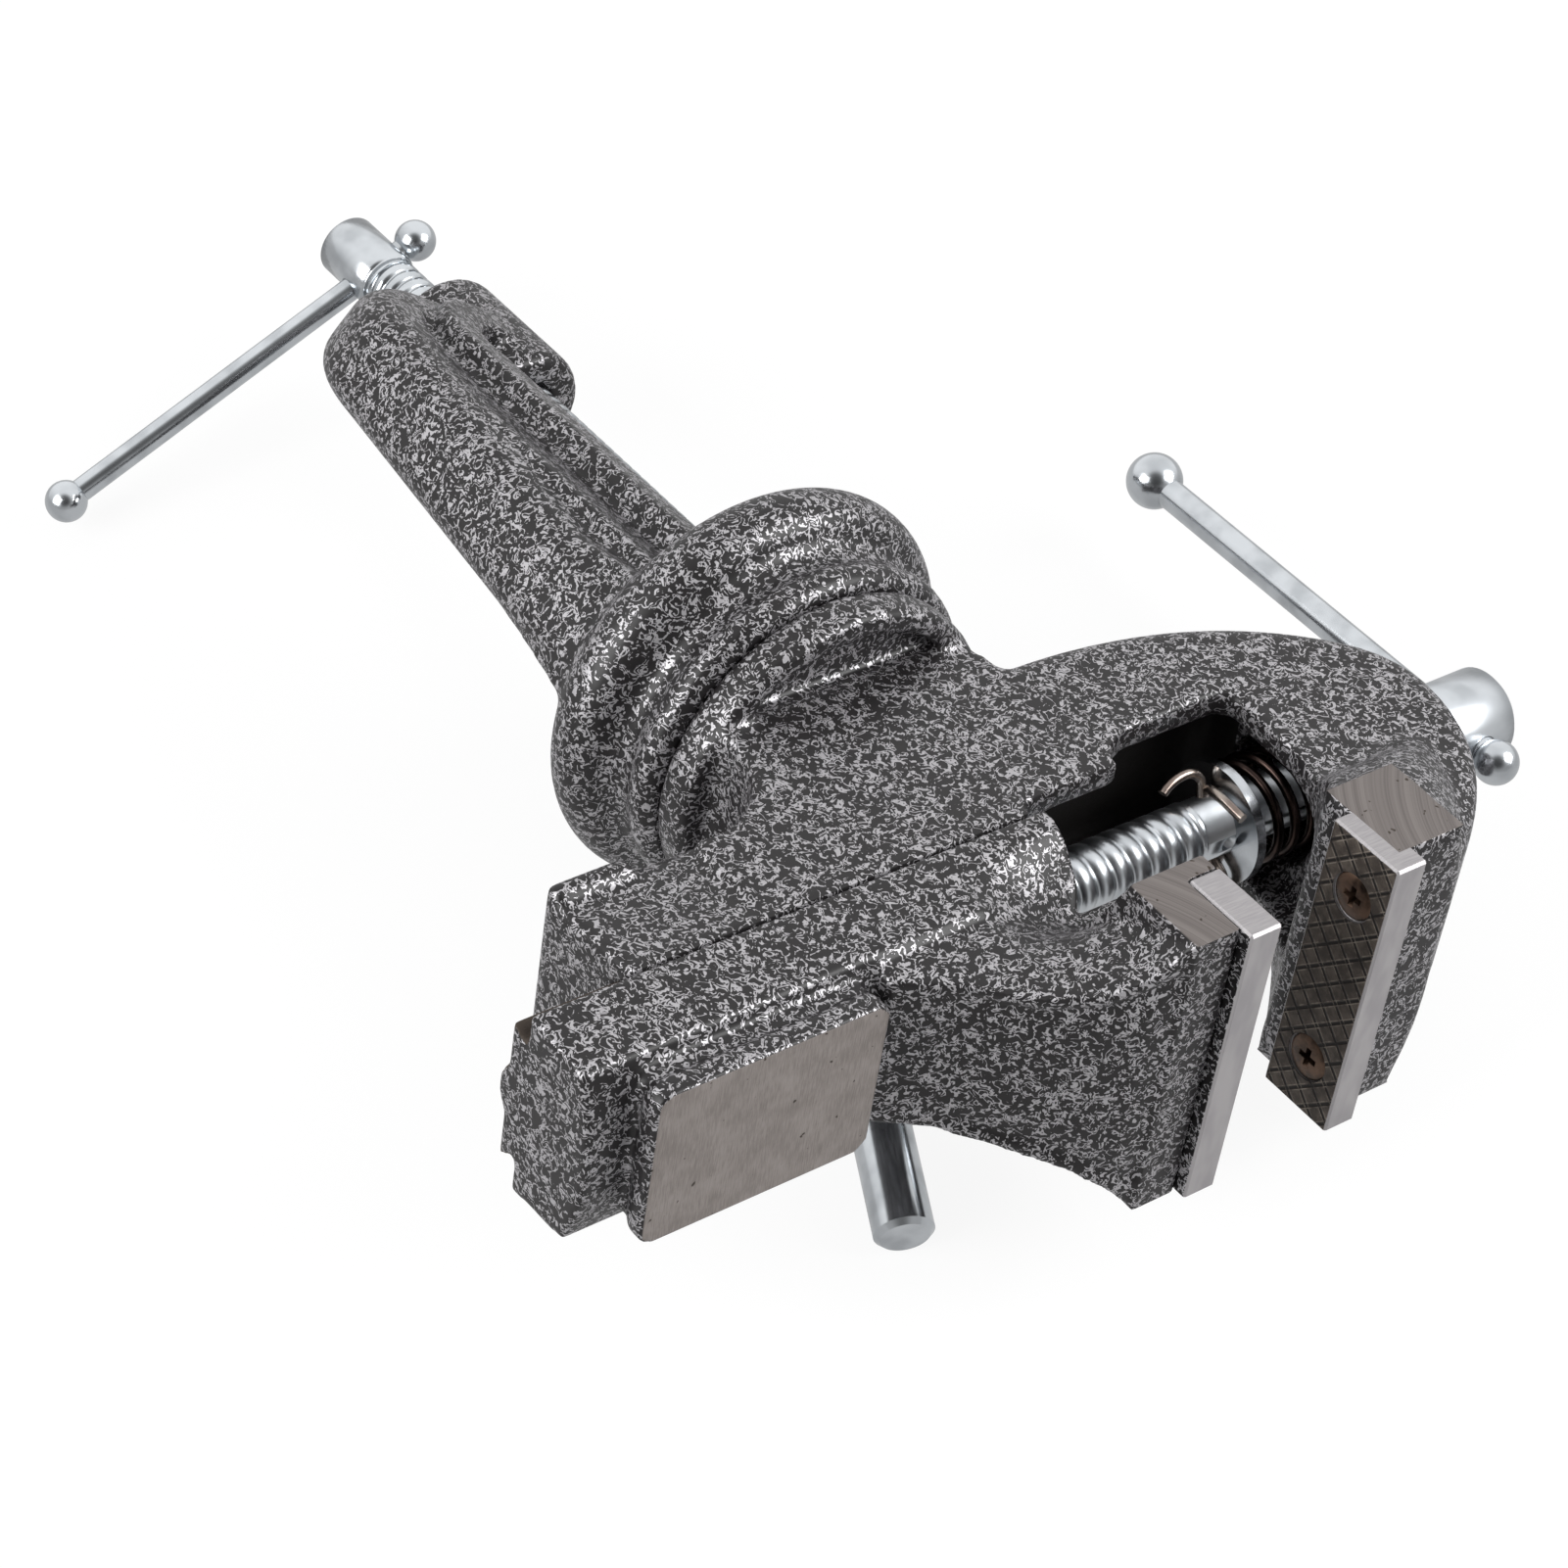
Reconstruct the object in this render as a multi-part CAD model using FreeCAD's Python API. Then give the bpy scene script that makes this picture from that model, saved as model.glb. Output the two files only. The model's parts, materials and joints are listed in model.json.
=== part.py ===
import FreeCAD
import Part
import math
import os

# Clamp-on bench vise with a swivel base. Millimetres. The origin lies on the
# swivel axis in the plane of the bench top, X runs along the spindle to its
# handle, Z is up and normal to the anvil.

# ---- driving dimensions ------------------------------------------------------

# jaws
JAW_WIDTH = 60.0
JAW_OPENING = 25.6
PLATE_HEIGHT = 16.0
PLATE_THICKNESS = 7.0
PLATE_TOP_Z = 127.0
REAR_FACE_X = 16.5
PLATE_SCREW_SPACING = 37.0
PLATE_SCREW_R = 2.5
PLATE_SCREW_HEAD_R = 4.6
PLATE_SCREW_LENGTH = 15.0

# spindle
SPINDLE_Z = 78.0
SPINDLE_R = 6.0
SHANK_R = 5.75
SPINDLE_HEAD_R = 8.8
SPINDLE_HEAD_LENGTH = 22.0
BAR_R = 3.0
BAR_BALL_SPAN = 97.0
SMALL_BALL_R = 4.3
LARGE_BALL_R = 5.6
SPRING_R = 10.3
SPRING_WIRE_R = 1.0
SPRING_TURNS = 5.5
WASHER_R = 11.5
WASHER_THICKNESS = 2.0
COTTER_R = 1.4

# slider
SLIDER_REAR_X = -95.4
SLIDER_FRONT_X = 5.5
SLIDER_SEAT_Z = 76.6
SLIDER_CROWN_Z = 94.7
SLIDER_HALF = 19.3
ANVIL_RISE = 5.4
ANVIL_REAR_X = -86.0
ANVIL_FRONT_X = -40.8
ANVIL_HALF = 15.6
TONGUE_Z = 72.2
TONGUE_HALF = 15.0
NECK_HALF = 12.7

# body casting
BODY_HALF = 19.0
BED_END_X = -75.8
BED_BOTTOM_Z = 52.5
BED_TOP_Z = 76.3
WALL = 5.6
FLANGE_R = 33.2
FLANGE_TOP_Z = 34.0
FRONT_WALL_X = 59.5
FRONT_FACE_X = 97.0

# swivel base and clamp
SEAT_Z = 26.0
DISC_R = 40.7
DISC_THICKNESS = 16.0
SEAT_R = 34.2
PIN_R = 10.0
PIN_TOP_Z = 56.0
CLAMP_TURN_DEG = -36.0
CLAMP_SCREW_OFFSET = 15.0
CLAMP_SCREW_SIDE = 6.0
CLAMP_SCREW_R = 6.0
CLAMP_BOSS_R = 12.6
CLAMP_BOSS_TOP_Z = -85.5
CLAMP_BOSS_BOTTOM_Z = -117.6
COLUMN_OUTER = 33.0
COLUMN_TOP_OUTER = 38.0
COLUMN_HALF = 10.3
COLUMN_LEAN_DEG = 4.7
COLUMN_UPRIGHT_Z = -53.0
COLUMN_INNER = 8.0
PAD_R = 15.0
PAD_TOP_Z = -12.0
PAD_THICKNESS = 9.0
CLAMP_HEAD_TOP_Z = -135.5
CLAMP_HEAD_BOTTOM_Z = -152.6
CLAMP_HEAD_R = 6.5
CLAMP_BAR_Z = -140.9
CLAMP_BAR_R = 2.4
CLAMP_BAR_TURN_DEG = 26.3
CLAMP_BAR_SPAN = 88.3
CLAMP_BALL_R = 4.25

# swivel lock
LOCK_Z = 44.6
LOCK_SCREW_R = 5.0
LOCK_HUB_Y = -36.0
LOCK_HUB_R = 10.0
LEVER_R = 5.5
LEVER_LENGTH = 58.5
LEVER_LEAN_X = -0.40
LEVER_LEAN_Y = -0.235

# fits
RUNNING = 0.05
SLIDING = 0.1
APART = 0.3

# ---- sizes that follow -------------------------------------------------------

JAW_HALF = JAW_WIDTH / 2
FRONT_FACE_PLATE_X = REAR_FACE_X + JAW_OPENING
REAR_SEAT_X = REAR_FACE_X - PLATE_THICKNESS
FRONT_SEAT_X = FRONT_FACE_PLATE_X + PLATE_THICKNESS
PLATE_BOTTOM_Z = PLATE_TOP_Z - PLATE_HEIGHT
PLATE_MIDDLE_Z = (PLATE_TOP_Z + PLATE_BOTTOM_Z) / 2
SPINDLE_BAR_X = FRONT_FACE_X + 0.6 * SPINDLE_HEAD_LENGTH
THREAD_END_X = FRONT_FACE_X - 52.0
SPINDLE_END_X = THREAD_END_X - 92.0
WASHER_X = FRONT_WALL_X - 7.9
SPRING_SEAT_X = FRONT_WALL_X + 18.5
ANVIL_TOP_Z = SLIDER_CROWN_Z + ANVIL_RISE
BEAM_EDGE_Z = SLIDER_CROWN_Z - 3.7
CASTING_TOP_Z = PLATE_TOP_Z - 3.2
LEDGE_X = FRONT_FACE_PLATE_X + 3.3
ARCH_FRONT_X = FRONT_FACE_X - 1.2
BLOCK_FRONT_X = 25.0
UP = FreeCAD.Vector(0, 0, 1)


# ---- helpers -----------------------------------------------------------------

def at(x, y, z):
    return FreeCAD.Vector(x, y, z)


def in_xz(u, w):
    return at(u, 0, w)


def in_yz(u, w):
    return at(0, u, w)


def in_xy(u, w):
    return at(u, w, 0)


def closed_outline(start, steps, place):
    """Wire from 2-D steps: a point is a line, (mid, end) an arc, a list a smooth curve."""
    edges = []
    here = start
    for step in steps:
        if isinstance(step, list):
            curve = Part.BSplineCurve()
            curve.interpolate([place(*point) for point in [here] + step])
            edges.append(curve.toShape())
            here = step[-1]
        elif isinstance(step[0], tuple):
            middle, end = step
            edges.append(Part.Arc(place(*here), place(*middle), place(*end)).toShape())
            here = end
        else:
            edges.append(Part.makeLine(place(*here), place(*step)))
            here = step
    if here != start:
        edges.append(Part.makeLine(place(*here), place(*start)))
    return Part.Wire(edges)


def side_slab(start, steps, half_width):
    """Slab with the given XZ outline, reaching half_width to both sides of Y."""
    face = Part.Face(closed_outline(start, steps, in_xz))
    face.translate(at(0, -half_width, 0))
    return face.extrude(at(0, 2 * half_width, 0))


def cross_bar(start, steps, x_from, x_to):
    """Bar along X with the given YZ outline."""
    face = Part.Face(closed_outline(start, steps, in_yz))
    face.translate(at(x_from, 0, 0))
    return face.extrude(at(x_to - x_from, 0, 0))


def turned(start, steps):
    """Solid turned about Z from an outline in radius and height."""
    return Part.Face(closed_outline(start, steps, in_xz)).revolve(at(0, 0, 0), UP, 360)


def rod(start, end, radius):
    return Part.makeCylinder(radius, (end - start).Length, start, end - start)


def block(x_from, x_to, half_width, z_from, z_to):
    corner = at(x_from, -half_width, z_from)
    return Part.makeBox(x_to - x_from, 2 * half_width, z_to - z_from, corner)


def bevel_ends(shape, size):
    """Chamfer on every full circular edge of a turned shape."""
    rims = [edge for edge in shape.Edges if edge.isClosed()]
    return shape.makeChamfer(size, rims)


def from_clamp_axes(shape):
    """Turn a shape drawn with the throat along +X into the clamp's direction."""
    return shape.rotated(at(0, 0, 0), UP, CLAMP_TURN_DEG)


def leaning(shape, lean, level):
    """Lean a shape drawn in the clamp's axes sideways, about the given level."""
    return shape.rotated(at(0, 0, level), at(1, 0, 0), lean)


def save(shape, name):
    shape.removeSplitter().exportStep("parts/" + name + ".step")


# ---- clamp bracket -----------------------------------------------------------

def swivel_disc():
    """Round base with a full rim, carrying the narrower ring that the body turns on."""
    rim = DISC_THICKNESS / 2
    middle = DISC_R - rim
    neck_z = (DISC_THICKNESS + SEAT_Z) / 2 - 3.5
    lip_z = SEAT_Z - 5.2
    steps = [
        (middle, 0),
        ((DISC_R, rim), (DISC_R - 3.2, DISC_THICKNESS - 2.6)),
        ((SEAT_R - 0.6, neck_z), (SEAT_R + 0.8, lip_z)),
        ((SEAT_R + 1.2, SEAT_Z - 2.4), (SEAT_R - 1.0, SEAT_Z)),
        (0, SEAT_Z),
    ]
    return turned((0, 0), steps)


def column_strip(outer, inner, bend_outer, bend_inner, arm_outer, arm_inner, spread=0):
    """C-shaped strip in the clamp's plane, between two lines that spread out at the disc."""
    top = DISC_THICKNESS / 2
    knee = CLAMP_BOSS_BOTTOM_Z + 34.6
    steps = [
        (-outer, knee),
        (bend_outer, (-outer + 24, arm_outer)),
        (CLAMP_SCREW_OFFSET, arm_outer - 4),
        (CLAMP_SCREW_OFFSET, arm_inner),
        (-inner + 10, arm_inner),
        (bend_inner, (-inner, knee + 4)),
        (-inner - spread, top),
    ]
    return (-outer - spread, top), steps


def flared(strip, low_half, high_half):
    """Strip as a solid whose width grows evenly from the arm up to the disc."""
    start, steps = strip
    low_z = CLAMP_BOSS_BOTTOM_Z - 10
    knee = CLAMP_BOSS_TOP_Z
    outline = [
        (-low_half, knee),
        (-high_half, DISC_THICKNESS / 2),
        (high_half, DISC_THICKNESS / 2),
        (low_half, knee),
        (low_half, low_z),
    ]
    reach = COLUMN_TOP_OUTER + CLAMP_SCREW_OFFSET
    front = cross_bar((-low_half, low_z), outline, -reach, reach)
    return side_slab(start, steps, high_half + 1).common(front)


def outer_lobe(strip, half_width, radius):
    """Strip of constant width with its three outer stretches rounded on both sides."""
    start, steps = strip
    outline = closed_outline(start, steps, in_xz)
    outer = [edge.CenterOfMass for edge in outline.Edges[:3]]
    slab = side_slab(start, steps, half_width)
    picked = []
    for edge in slab.Edges:
        middle = edge.CenterOfMass
        if any(math.hypot(middle.x - o.x, middle.z - o.z) < 0.01 for o in outer):
            picked.append(edge)
    return slab.makeFillet(radius, picked)


def outer_flange():
    """Rounded outer flange of the column, leaning more than its web."""
    strip = column_strip(
        COLUMN_OUTER, COLUMN_OUTER - 13,
        (-COLUMN_OUTER + 6.5, CLAMP_BOSS_BOTTOM_Z + 17), (-COLUMN_OUTER + 15, CLAMP_BOSS_BOTTOM_Z + 26),
        CLAMP_BOSS_BOTTOM_Z + 9, CLAMP_BOSS_BOTTOM_Z + 18,
        COLUMN_TOP_OUTER - COLUMN_OUTER,
    )
    lobe = outer_lobe(strip, COLUMN_HALF, 6.5)
    return leaning(lobe, COLUMN_LEAN_DEG, COLUMN_UPRIGHT_Z)


def column_root():
    """Flared root of the outer flange where it grows out of the disc."""
    slope = math.tan(math.radians(COLUMN_LEAN_DEG))
    rings = []
    middle = (COLUMN_UPRIGHT_Z + DISC_THICKNESS) * slope
    for z, spread in ((-2.2 * DISC_THICKNESS, -3.6), (DISC_THICKNESS / 2, 2.4)):
        corners = []
        for u, v in ((-1, -1), (1, -1), (1, 1), (-1, 1), (-1, -1)):
            along = -COLUMN_TOP_OUTER + 9.2 + u * (5.6 + spread)
            corners.append(at(along, middle + v * (COLUMN_HALF + 1 + spread), z))
        rings.append(Part.makePolygon(corners))
    return Part.makeLoft(rings, True, True)


def clamp_casting():
    """Column of I section and the arm under the bench."""
    boss_z = CLAMP_BOSS_BOTTOM_Z
    web = flared(
        column_strip(
            COLUMN_OUTER - 5, COLUMN_INNER + 4,
            (-COLUMN_OUTER + 11, boss_z + 19), (-COLUMN_INNER - 1, boss_z + 28),
            boss_z + 11, boss_z + 22,
        ),
        6.0, 11.6,
    )
    inner_rib = flared(
        column_strip(
            COLUMN_INNER + 9, COLUMN_INNER,
            (-COLUMN_INNER - 6, boss_z + 24.5), (-COLUMN_INNER + 2.8, boss_z + 28),
            boss_z + 15, boss_z + 24,
        ),
        11.6, 17.6,
    )
    drop = DISC_THICKNESS / 2 - (CLAMP_BOSS_TOP_Z + boss_z) / 2
    lean = math.degrees(math.atan2(CLAMP_SCREW_SIDE, drop))
    column = leaning(web.fuse(inner_rib), lean, DISC_THICKNESS / 2)
    return column.fuse([outer_flange(), column_root()])


def screw_boss():
    """Round boss at the end of the arm, square to the base."""
    boss = rod(clamp_axis_point(CLAMP_BOSS_BOTTOM_Z), clamp_axis_point(CLAMP_BOSS_TOP_Z), CLAMP_BOSS_R)
    return bevel_ends(boss, 1.5)


def clamp_bracket():
    low_z = CLAMP_BOSS_BOTTOM_Z - 5
    screw_hole = rod(clamp_axis_point(low_z), clamp_axis_point(CLAMP_BOSS_TOP_Z + 5), CLAMP_SCREW_R + RUNNING)
    pin_hole = rod(at(0, 0, 5), at(0, 0, SEAT_Z + 1), PIN_R)
    side = COLUMN_TOP_OUTER + 10
    top_trim = block(-side, side, side, DISC_THICKNESS / 2, SEAT_Z)
    lower = from_clamp_axes(clamp_casting().cut(top_trim))
    casting = swivel_disc().fuse([lower, screw_boss()])
    return casting.cut([screw_hole, pin_hole])


def swivel_pin():
    """Stud pressed into the base, with the V groove that the lock shoe bears in."""
    groove = 2.2
    steps = [
        (PIN_R, 5),
        (PIN_R, LOCK_Z - groove - 1),
        (PIN_R - groove, LOCK_Z - 1),
        (PIN_R - groove, LOCK_Z + 1),
        (PIN_R, LOCK_Z + groove + 1),
        (PIN_R, PIN_TOP_Z - 1.5),
        (PIN_R - 1.5, PIN_TOP_Z),
        (0, PIN_TOP_Z),
    ]
    return turned((0, 5), steps)


# ---- clamp screw -------------------------------------------------------------

def clamp_axis_point(z):
    """Point on the clamp screw's axis."""
    turn = math.radians(CLAMP_TURN_DEG)
    x = CLAMP_SCREW_OFFSET * math.cos(turn) - CLAMP_SCREW_SIDE * math.sin(turn)
    y = CLAMP_SCREW_OFFSET * math.sin(turn) + CLAMP_SCREW_SIDE * math.cos(turn)
    return at(x, y, z)


def clamp_bar_line(distance):
    """Point on the clamp bar's axis, at a distance from the screw's axis."""
    turn = math.radians(CLAMP_BAR_TURN_DEG)
    return clamp_axis_point(CLAMP_BAR_Z) + at(math.cos(turn), math.sin(turn), 0) * distance


def clamp_screw():
    """Threaded stem with a turned head below and a spigot for the pad on top."""
    pad_bottom = PAD_TOP_Z - PAD_THICKNESS
    steps = [
        (CLAMP_HEAD_R - 1.5, CLAMP_HEAD_BOTTOM_Z),
        (CLAMP_HEAD_R, CLAMP_HEAD_BOTTOM_Z + 1.5),
        (CLAMP_HEAD_R, CLAMP_HEAD_TOP_Z - 1),
        (CLAMP_HEAD_R - 0.8, CLAMP_HEAD_TOP_Z),
        (CLAMP_SCREW_R, CLAMP_HEAD_TOP_Z),
        (CLAMP_SCREW_R, pad_bottom - 1.5),
        (CLAMP_SCREW_R - 1.2, pad_bottom - APART),
        (4.0, pad_bottom - APART),
        (4.0, PAD_TOP_Z - 4.5),
        (3.0, PAD_TOP_Z - 3.5),
        (0, PAD_TOP_Z - 3.5),
    ]
    stem = turned((0, CLAMP_HEAD_BOTTOM_Z), steps)
    stem.translate(clamp_axis_point(0))
    hole = rod(clamp_bar_line(-20), clamp_bar_line(20), CLAMP_BAR_R + SLIDING)
    return stem.cut(hole)


def clamp_pad():
    """Dished disc that turns freely on the screw's spigot and bears under the bench."""
    low = PAD_TOP_Z - PAD_THICKNESS
    steps = [
        (7.5, low),
        (8.5, low + 3.5),
        (PAD_R - 0.6, low + 4.5),
        (PAD_R, low + 5.2),
        (PAD_R, PAD_TOP_Z - 1),
        (PAD_R - 1, PAD_TOP_Z),
        (0, PAD_TOP_Z),
        (0, PAD_TOP_Z - 3.2),
        (4.0 + RUNNING, PAD_TOP_Z - 3.2),
        (4.0 + RUNNING, low),
    ]
    pad = turned((7.5, low), steps[1:])
    pad.translate(clamp_axis_point(0))
    return pad


def clamp_bar_ends():
    near = CLAMP_HEAD_R + CLAMP_BALL_R - 0.35
    return clamp_bar_line(near), clamp_bar_line(near - CLAMP_BAR_SPAN)


def clamp_bar():
    near, far = clamp_bar_ends()
    return rod(near, far, CLAMP_BAR_R)


def clamp_bar_balls():
    near, far = clamp_bar_ends()
    balls = []
    for centre, other in ((near, far), (far, near)):
        ball = Part.makeSphere(CLAMP_BALL_R, centre)
        balls.append(ball.cut(rod(centre, other, CLAMP_BAR_R)))
    return balls


# ---- vise body ---------------------------------------------------------------

def bed():
    """Rear guide beam of the body, narrower at its underside."""
    low = BODY_HALF - 2.6
    edge = 1.5
    steps = [
        (low - edge, BED_BOTTOM_Z),
        (low, BED_BOTTOM_Z + edge),
        (BODY_HALF + 0.3, BED_TOP_Z),
        (-BODY_HALF - 0.3, BED_TOP_Z),
        (-low, BED_BOTTOM_Z + edge),
        (-low + edge, BED_BOTTOM_Z),
    ]
    return cross_bar((-low + edge, BED_BOTTOM_Z), steps, BED_END_X, 10)


def base_block():
    """Block between flange and bed, with a hollow rear corner under the bed."""
    low = FLANGE_TOP_Z - 1.5
    steps = [
        (26, low),
        (28.5, low + 13),
        (33, BED_TOP_Z - 9),
        (28.5, BED_TOP_Z - 3),
        (-48, BED_TOP_Z - 3),
        (-48, BED_BOTTOM_Z + 2),
        ((-31.5, BED_BOTTOM_Z - 4), (-28, low)),
    ]
    return side_slab((-28, low), steps, BODY_HALF)


def arch():
    """Curved front limb that carries the fixed jaw, outer edges rounded."""
    foot_x = BLOCK_FRONT_X
    foot_z = SPINDLE_Z - 36.6
    reach = ARCH_FRONT_X - foot_x
    back_x = FRONT_SEAT_X + 11.9
    curve = [
        (foot_x + 0.356 * reach, foot_z + 2),
        (foot_x + 0.626 * reach, foot_z + 8),
        (foot_x + 0.868 * reach, foot_z + 19.3),
        (foot_x + 0.990 * reach, SPINDLE_Z - 5.8),
        (ARCH_FRONT_X, SPINDLE_Z + 8),
        (foot_x + 0.932 * reach, SPINDLE_Z + 20.5),
        (back_x + 0.496 * (ARCH_FRONT_X - back_x), PLATE_BOTTOM_Z + 1.5),
        (back_x, CASTING_TOP_Z - 0.3),
    ]
    steps = [
        curve,
        (LEDGE_X, CASTING_TOP_Z - 0.3),
        (LEDGE_X, SPINDLE_Z + 22),
        (foot_x, SPINDLE_Z - 8),
    ]
    slab = side_slab((foot_x, foot_z), steps, BODY_HALF)
    outer = []
    for edge in slab.Edges:
        if abs(abs(edge.CenterOfMass.y) - BODY_HALF) < 0.1 and edge.BoundBox.ZLength > 60:
            outer.append(edge)
    return slab.makeFillet(4.0, outer)


def jaw_section(z, rear_x, side_x, front_x, half, shoulder):
    """Level slice of the fixed jaw: straight back and ends, rounded front."""
    mid_x = side_x + 0.72 * (front_x - side_x)
    start = (rear_x, -half)
    steps = [
        (side_x, -half),
        ((mid_x, -shoulder), (front_x, 0)),
        ((mid_x, shoulder), (side_x, half)),
        (rear_x, half),
    ]
    wire = closed_outline(start, steps, in_xy)
    wire.translate(at(0, 0, z))
    return wire


def front_jaw():
    """Fixed jaw, widening from the arch to the full jaw width."""
    end_x = FRONT_SEAT_X + 11.6
    bulge = ARCH_FRONT_X - end_x
    wall_x = FRONT_WALL_X
    ledge_z = PLATE_BOTTOM_Z
    flare = [
        jaw_section(SPINDLE_Z + 8, wall_x - 1.5, end_x + 11.3, ARCH_FRONT_X - 0.1, BODY_HALF - 1, 14.5),
        jaw_section(SPINDLE_Z + 17, wall_x - 6.5, end_x + 8.3, ARCH_FRONT_X - 3, BODY_HALF + 2, 16.5),
        jaw_section(ledge_z - 7, LEDGE_X, end_x + 3.3, end_x + 0.66 * bulge, JAW_HALF - 1.5, 20),
        jaw_section(ledge_z, LEDGE_X, end_x + 0.8, end_x + 0.48 * bulge, JAW_HALF, 21.5),
        jaw_section(ledge_z + 8, LEDGE_X, end_x, end_x + 0.20 * bulge, JAW_HALF, 22),
        jaw_section(CASTING_TOP_Z, LEDGE_X, end_x - 0.5, end_x + 0.05 * bulge, JAW_HALF, 24),
    ]
    return Part.makeLoft(flare, True, False)


def flange():
    """Round foot of the body with a crescent pocket on each side of the block."""
    steps = [
        (FLANGE_R - 1, SEAT_Z),
        (FLANGE_R, SEAT_Z + 1),
        (FLANGE_R, FLANGE_TOP_Z - 1),
        (FLANGE_R - 1, FLANGE_TOP_Z),
        (0, FLANGE_TOP_Z),
    ]
    pocket = rod(at(0, 0, FLANGE_TOP_Z - 4), at(0, 0, FLANGE_TOP_Z + 1), FLANGE_R - 4.5)
    pocket = pocket.cut(block(-FLANGE_R, FLANGE_R, BODY_HALF - 1, SEAT_Z, FLANGE_TOP_Z + 1))
    return turned((0, SEAT_Z), steps).cut(pocket)


def throat_cut():
    """Open space between the jaws, down to the bed and back along its top."""
    bed_z = BED_TOP_Z
    steps = [
        (7, bed_z),
        (7, bed_z - 2.8),
        (29, bed_z - 2.8),
        (30.4, bed_z - 7),
        (36, bed_z - 9.8),
        (FRONT_WALL_X - 3, bed_z - 9.8),
        ((FRONT_WALL_X, bed_z - 8.6), (FRONT_WALL_X + 0.5, bed_z - 5)),
        (FRONT_WALL_X, SPINDLE_Z + 6.6),
        ((FRONT_WALL_X - 3.8, SPINDLE_Z + 16.7), (LEDGE_X, PLATE_BOTTOM_Z - 5.5)),
        (LEDGE_X, PLATE_BOTTOM_Z),
        (FRONT_SEAT_X, PLATE_BOTTOM_Z),
        (FRONT_SEAT_X, PLATE_TOP_Z + 5),
        (-80, PLATE_TOP_Z + 5),
    ]
    return side_slab((-80, bed_z), steps, JAW_HALF + 10)


def core_hollow():
    """Cored space inside the casting, behind the side walls."""
    half = BODY_HALF - WALL
    wall_x = FRONT_WALL_X
    floor_z = PIN_TOP_Z + 1
    top_z = PLATE_BOTTOM_Z - 9
    steps = [
        (wall_x - 1.5, floor_z),
        ((wall_x + 4.5, floor_z + 1.6), (wall_x + 6.5, floor_z + 7)),
        (wall_x + 5.8, SPINDLE_Z + 8),
        ((wall_x + 2, SPINDLE_Z + 18), (LEDGE_X + 4.6, top_z)),
        (14, top_z),
    ]
    return side_slab((14, floor_z), steps, half)


def guide_groove():
    """Dovetail groove for the slider's tongue and the open channel beneath it."""
    tip = TONGUE_HALF + SLIDING
    neck = NECK_HALF + SLIDING
    channel = BODY_HALF - WALL - 3
    low = TONGUE_Z - SLIDING
    steps = [
        (neck, SLIDER_SEAT_Z),
        (neck, SLIDER_SEAT_Z - 1.2),
        (tip, low),
        (channel, low),
        (channel, BED_BOTTOM_Z + WALL),
        (-channel, BED_BOTTOM_Z + WALL),
        (-channel, low),
        (-tip, low),
        (-neck, SLIDER_SEAT_Z - 1.2),
        (-neck, SLIDER_SEAT_Z),
    ]
    deep = cross_bar((-neck, SLIDER_SEAT_Z), steps, BED_END_X + WALL, -14)
    shallow = steps[:3] + steps[7:]
    through = cross_bar((-neck, SLIDER_SEAT_Z), shallow, BED_END_X - 1, 40)
    trough = rod(at(BED_END_X - 1, 0, SPINDLE_Z), at(40, 0, SPINDLE_Z), 9.5)
    return [deep, through, trough]


def body_bores():
    shank = rod(at(50, 0, SPINDLE_Z), at(FRONT_FACE_X + 1, 0, SPINDLE_Z), SHANK_R + RUNNING)
    spring = rod(at(50, 0, SPINDLE_Z), at(SPRING_SEAT_X, 0, SPINDLE_Z), SPRING_R + 1.7)
    pin = rod(at(0, 0, SEAT_Z - 1), at(0, 0, PIN_TOP_Z + 1.5), PIN_R + RUNNING)
    lock = rod(at(0, -BODY_HALF - 10, LOCK_Z), at(0, -4, LOCK_Z), LOCK_SCREW_R + RUNNING)
    screws = [plate_screw_core(FRONT_FACE_PLATE_X, 1, y) for y in plate_screw_rows()]
    return [shank, spring, pin, lock] + screws


def vise_body():
    boss_start = at(FRONT_FACE_X - 7, 0, SPINDLE_Z)
    front_boss = rod(boss_start, at(FRONT_FACE_X, 0, SPINDLE_Z), SPINDLE_HEAD_R + 2)
    lock_boss = rod(at(0, -BODY_HALF - 3, LOCK_Z), at(0, -BODY_HALF + 1, LOCK_Z), 9.0)
    casting = arch().fuse([front_jaw(), base_block(), bed(), flange()])
    casting = casting.cut([throat_cut(), core_hollow()])
    casting = casting.cut(guide_groove())
    casting = casting.fuse([front_boss, lock_boss])
    return casting.cut(body_bores())


# ---- swivel lock -------------------------------------------------------------

def lock_screw():
    """Screw with a round hub outside the body, bored for the lever's tenon."""
    hub_from = LOCK_HUB_Y - 9
    hub_to = LOCK_HUB_Y + 9
    hub = rod(at(0, hub_from, LOCK_Z), at(0, hub_to, LOCK_Z), LOCK_HUB_R)
    hub = bevel_ends(hub, 2.0)
    stem = rod(at(0, hub_to - 1, LOCK_Z), at(0, -14.2, LOCK_Z), LOCK_SCREW_R)
    stem = bevel_ends(stem, 0.6)
    tenon = rod(lever_point(0), lever_point(LOCK_HUB_R + 10), 4.0)
    return hub.fuse(stem).cut(tenon)


def lever_point(distance):
    rise = math.sqrt(1 - LEVER_LEAN_X ** 2 - LEVER_LEAN_Y ** 2)
    return at(0, LOCK_HUB_Y, LOCK_Z) + at(LEVER_LEAN_X, LEVER_LEAN_Y, rise) * distance


def lock_lever():
    """Round lever with a tenon in the hub and a bevelled flat end."""
    bar = rod(lever_point(LOCK_HUB_R + 1), lever_point(LEVER_LENGTH), LEVER_R)
    bar = bevel_ends(bar, 1.0)
    return bar.fuse(rod(lever_point(0), lever_point(LOCK_HUB_R + 2), 4.0))


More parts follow.
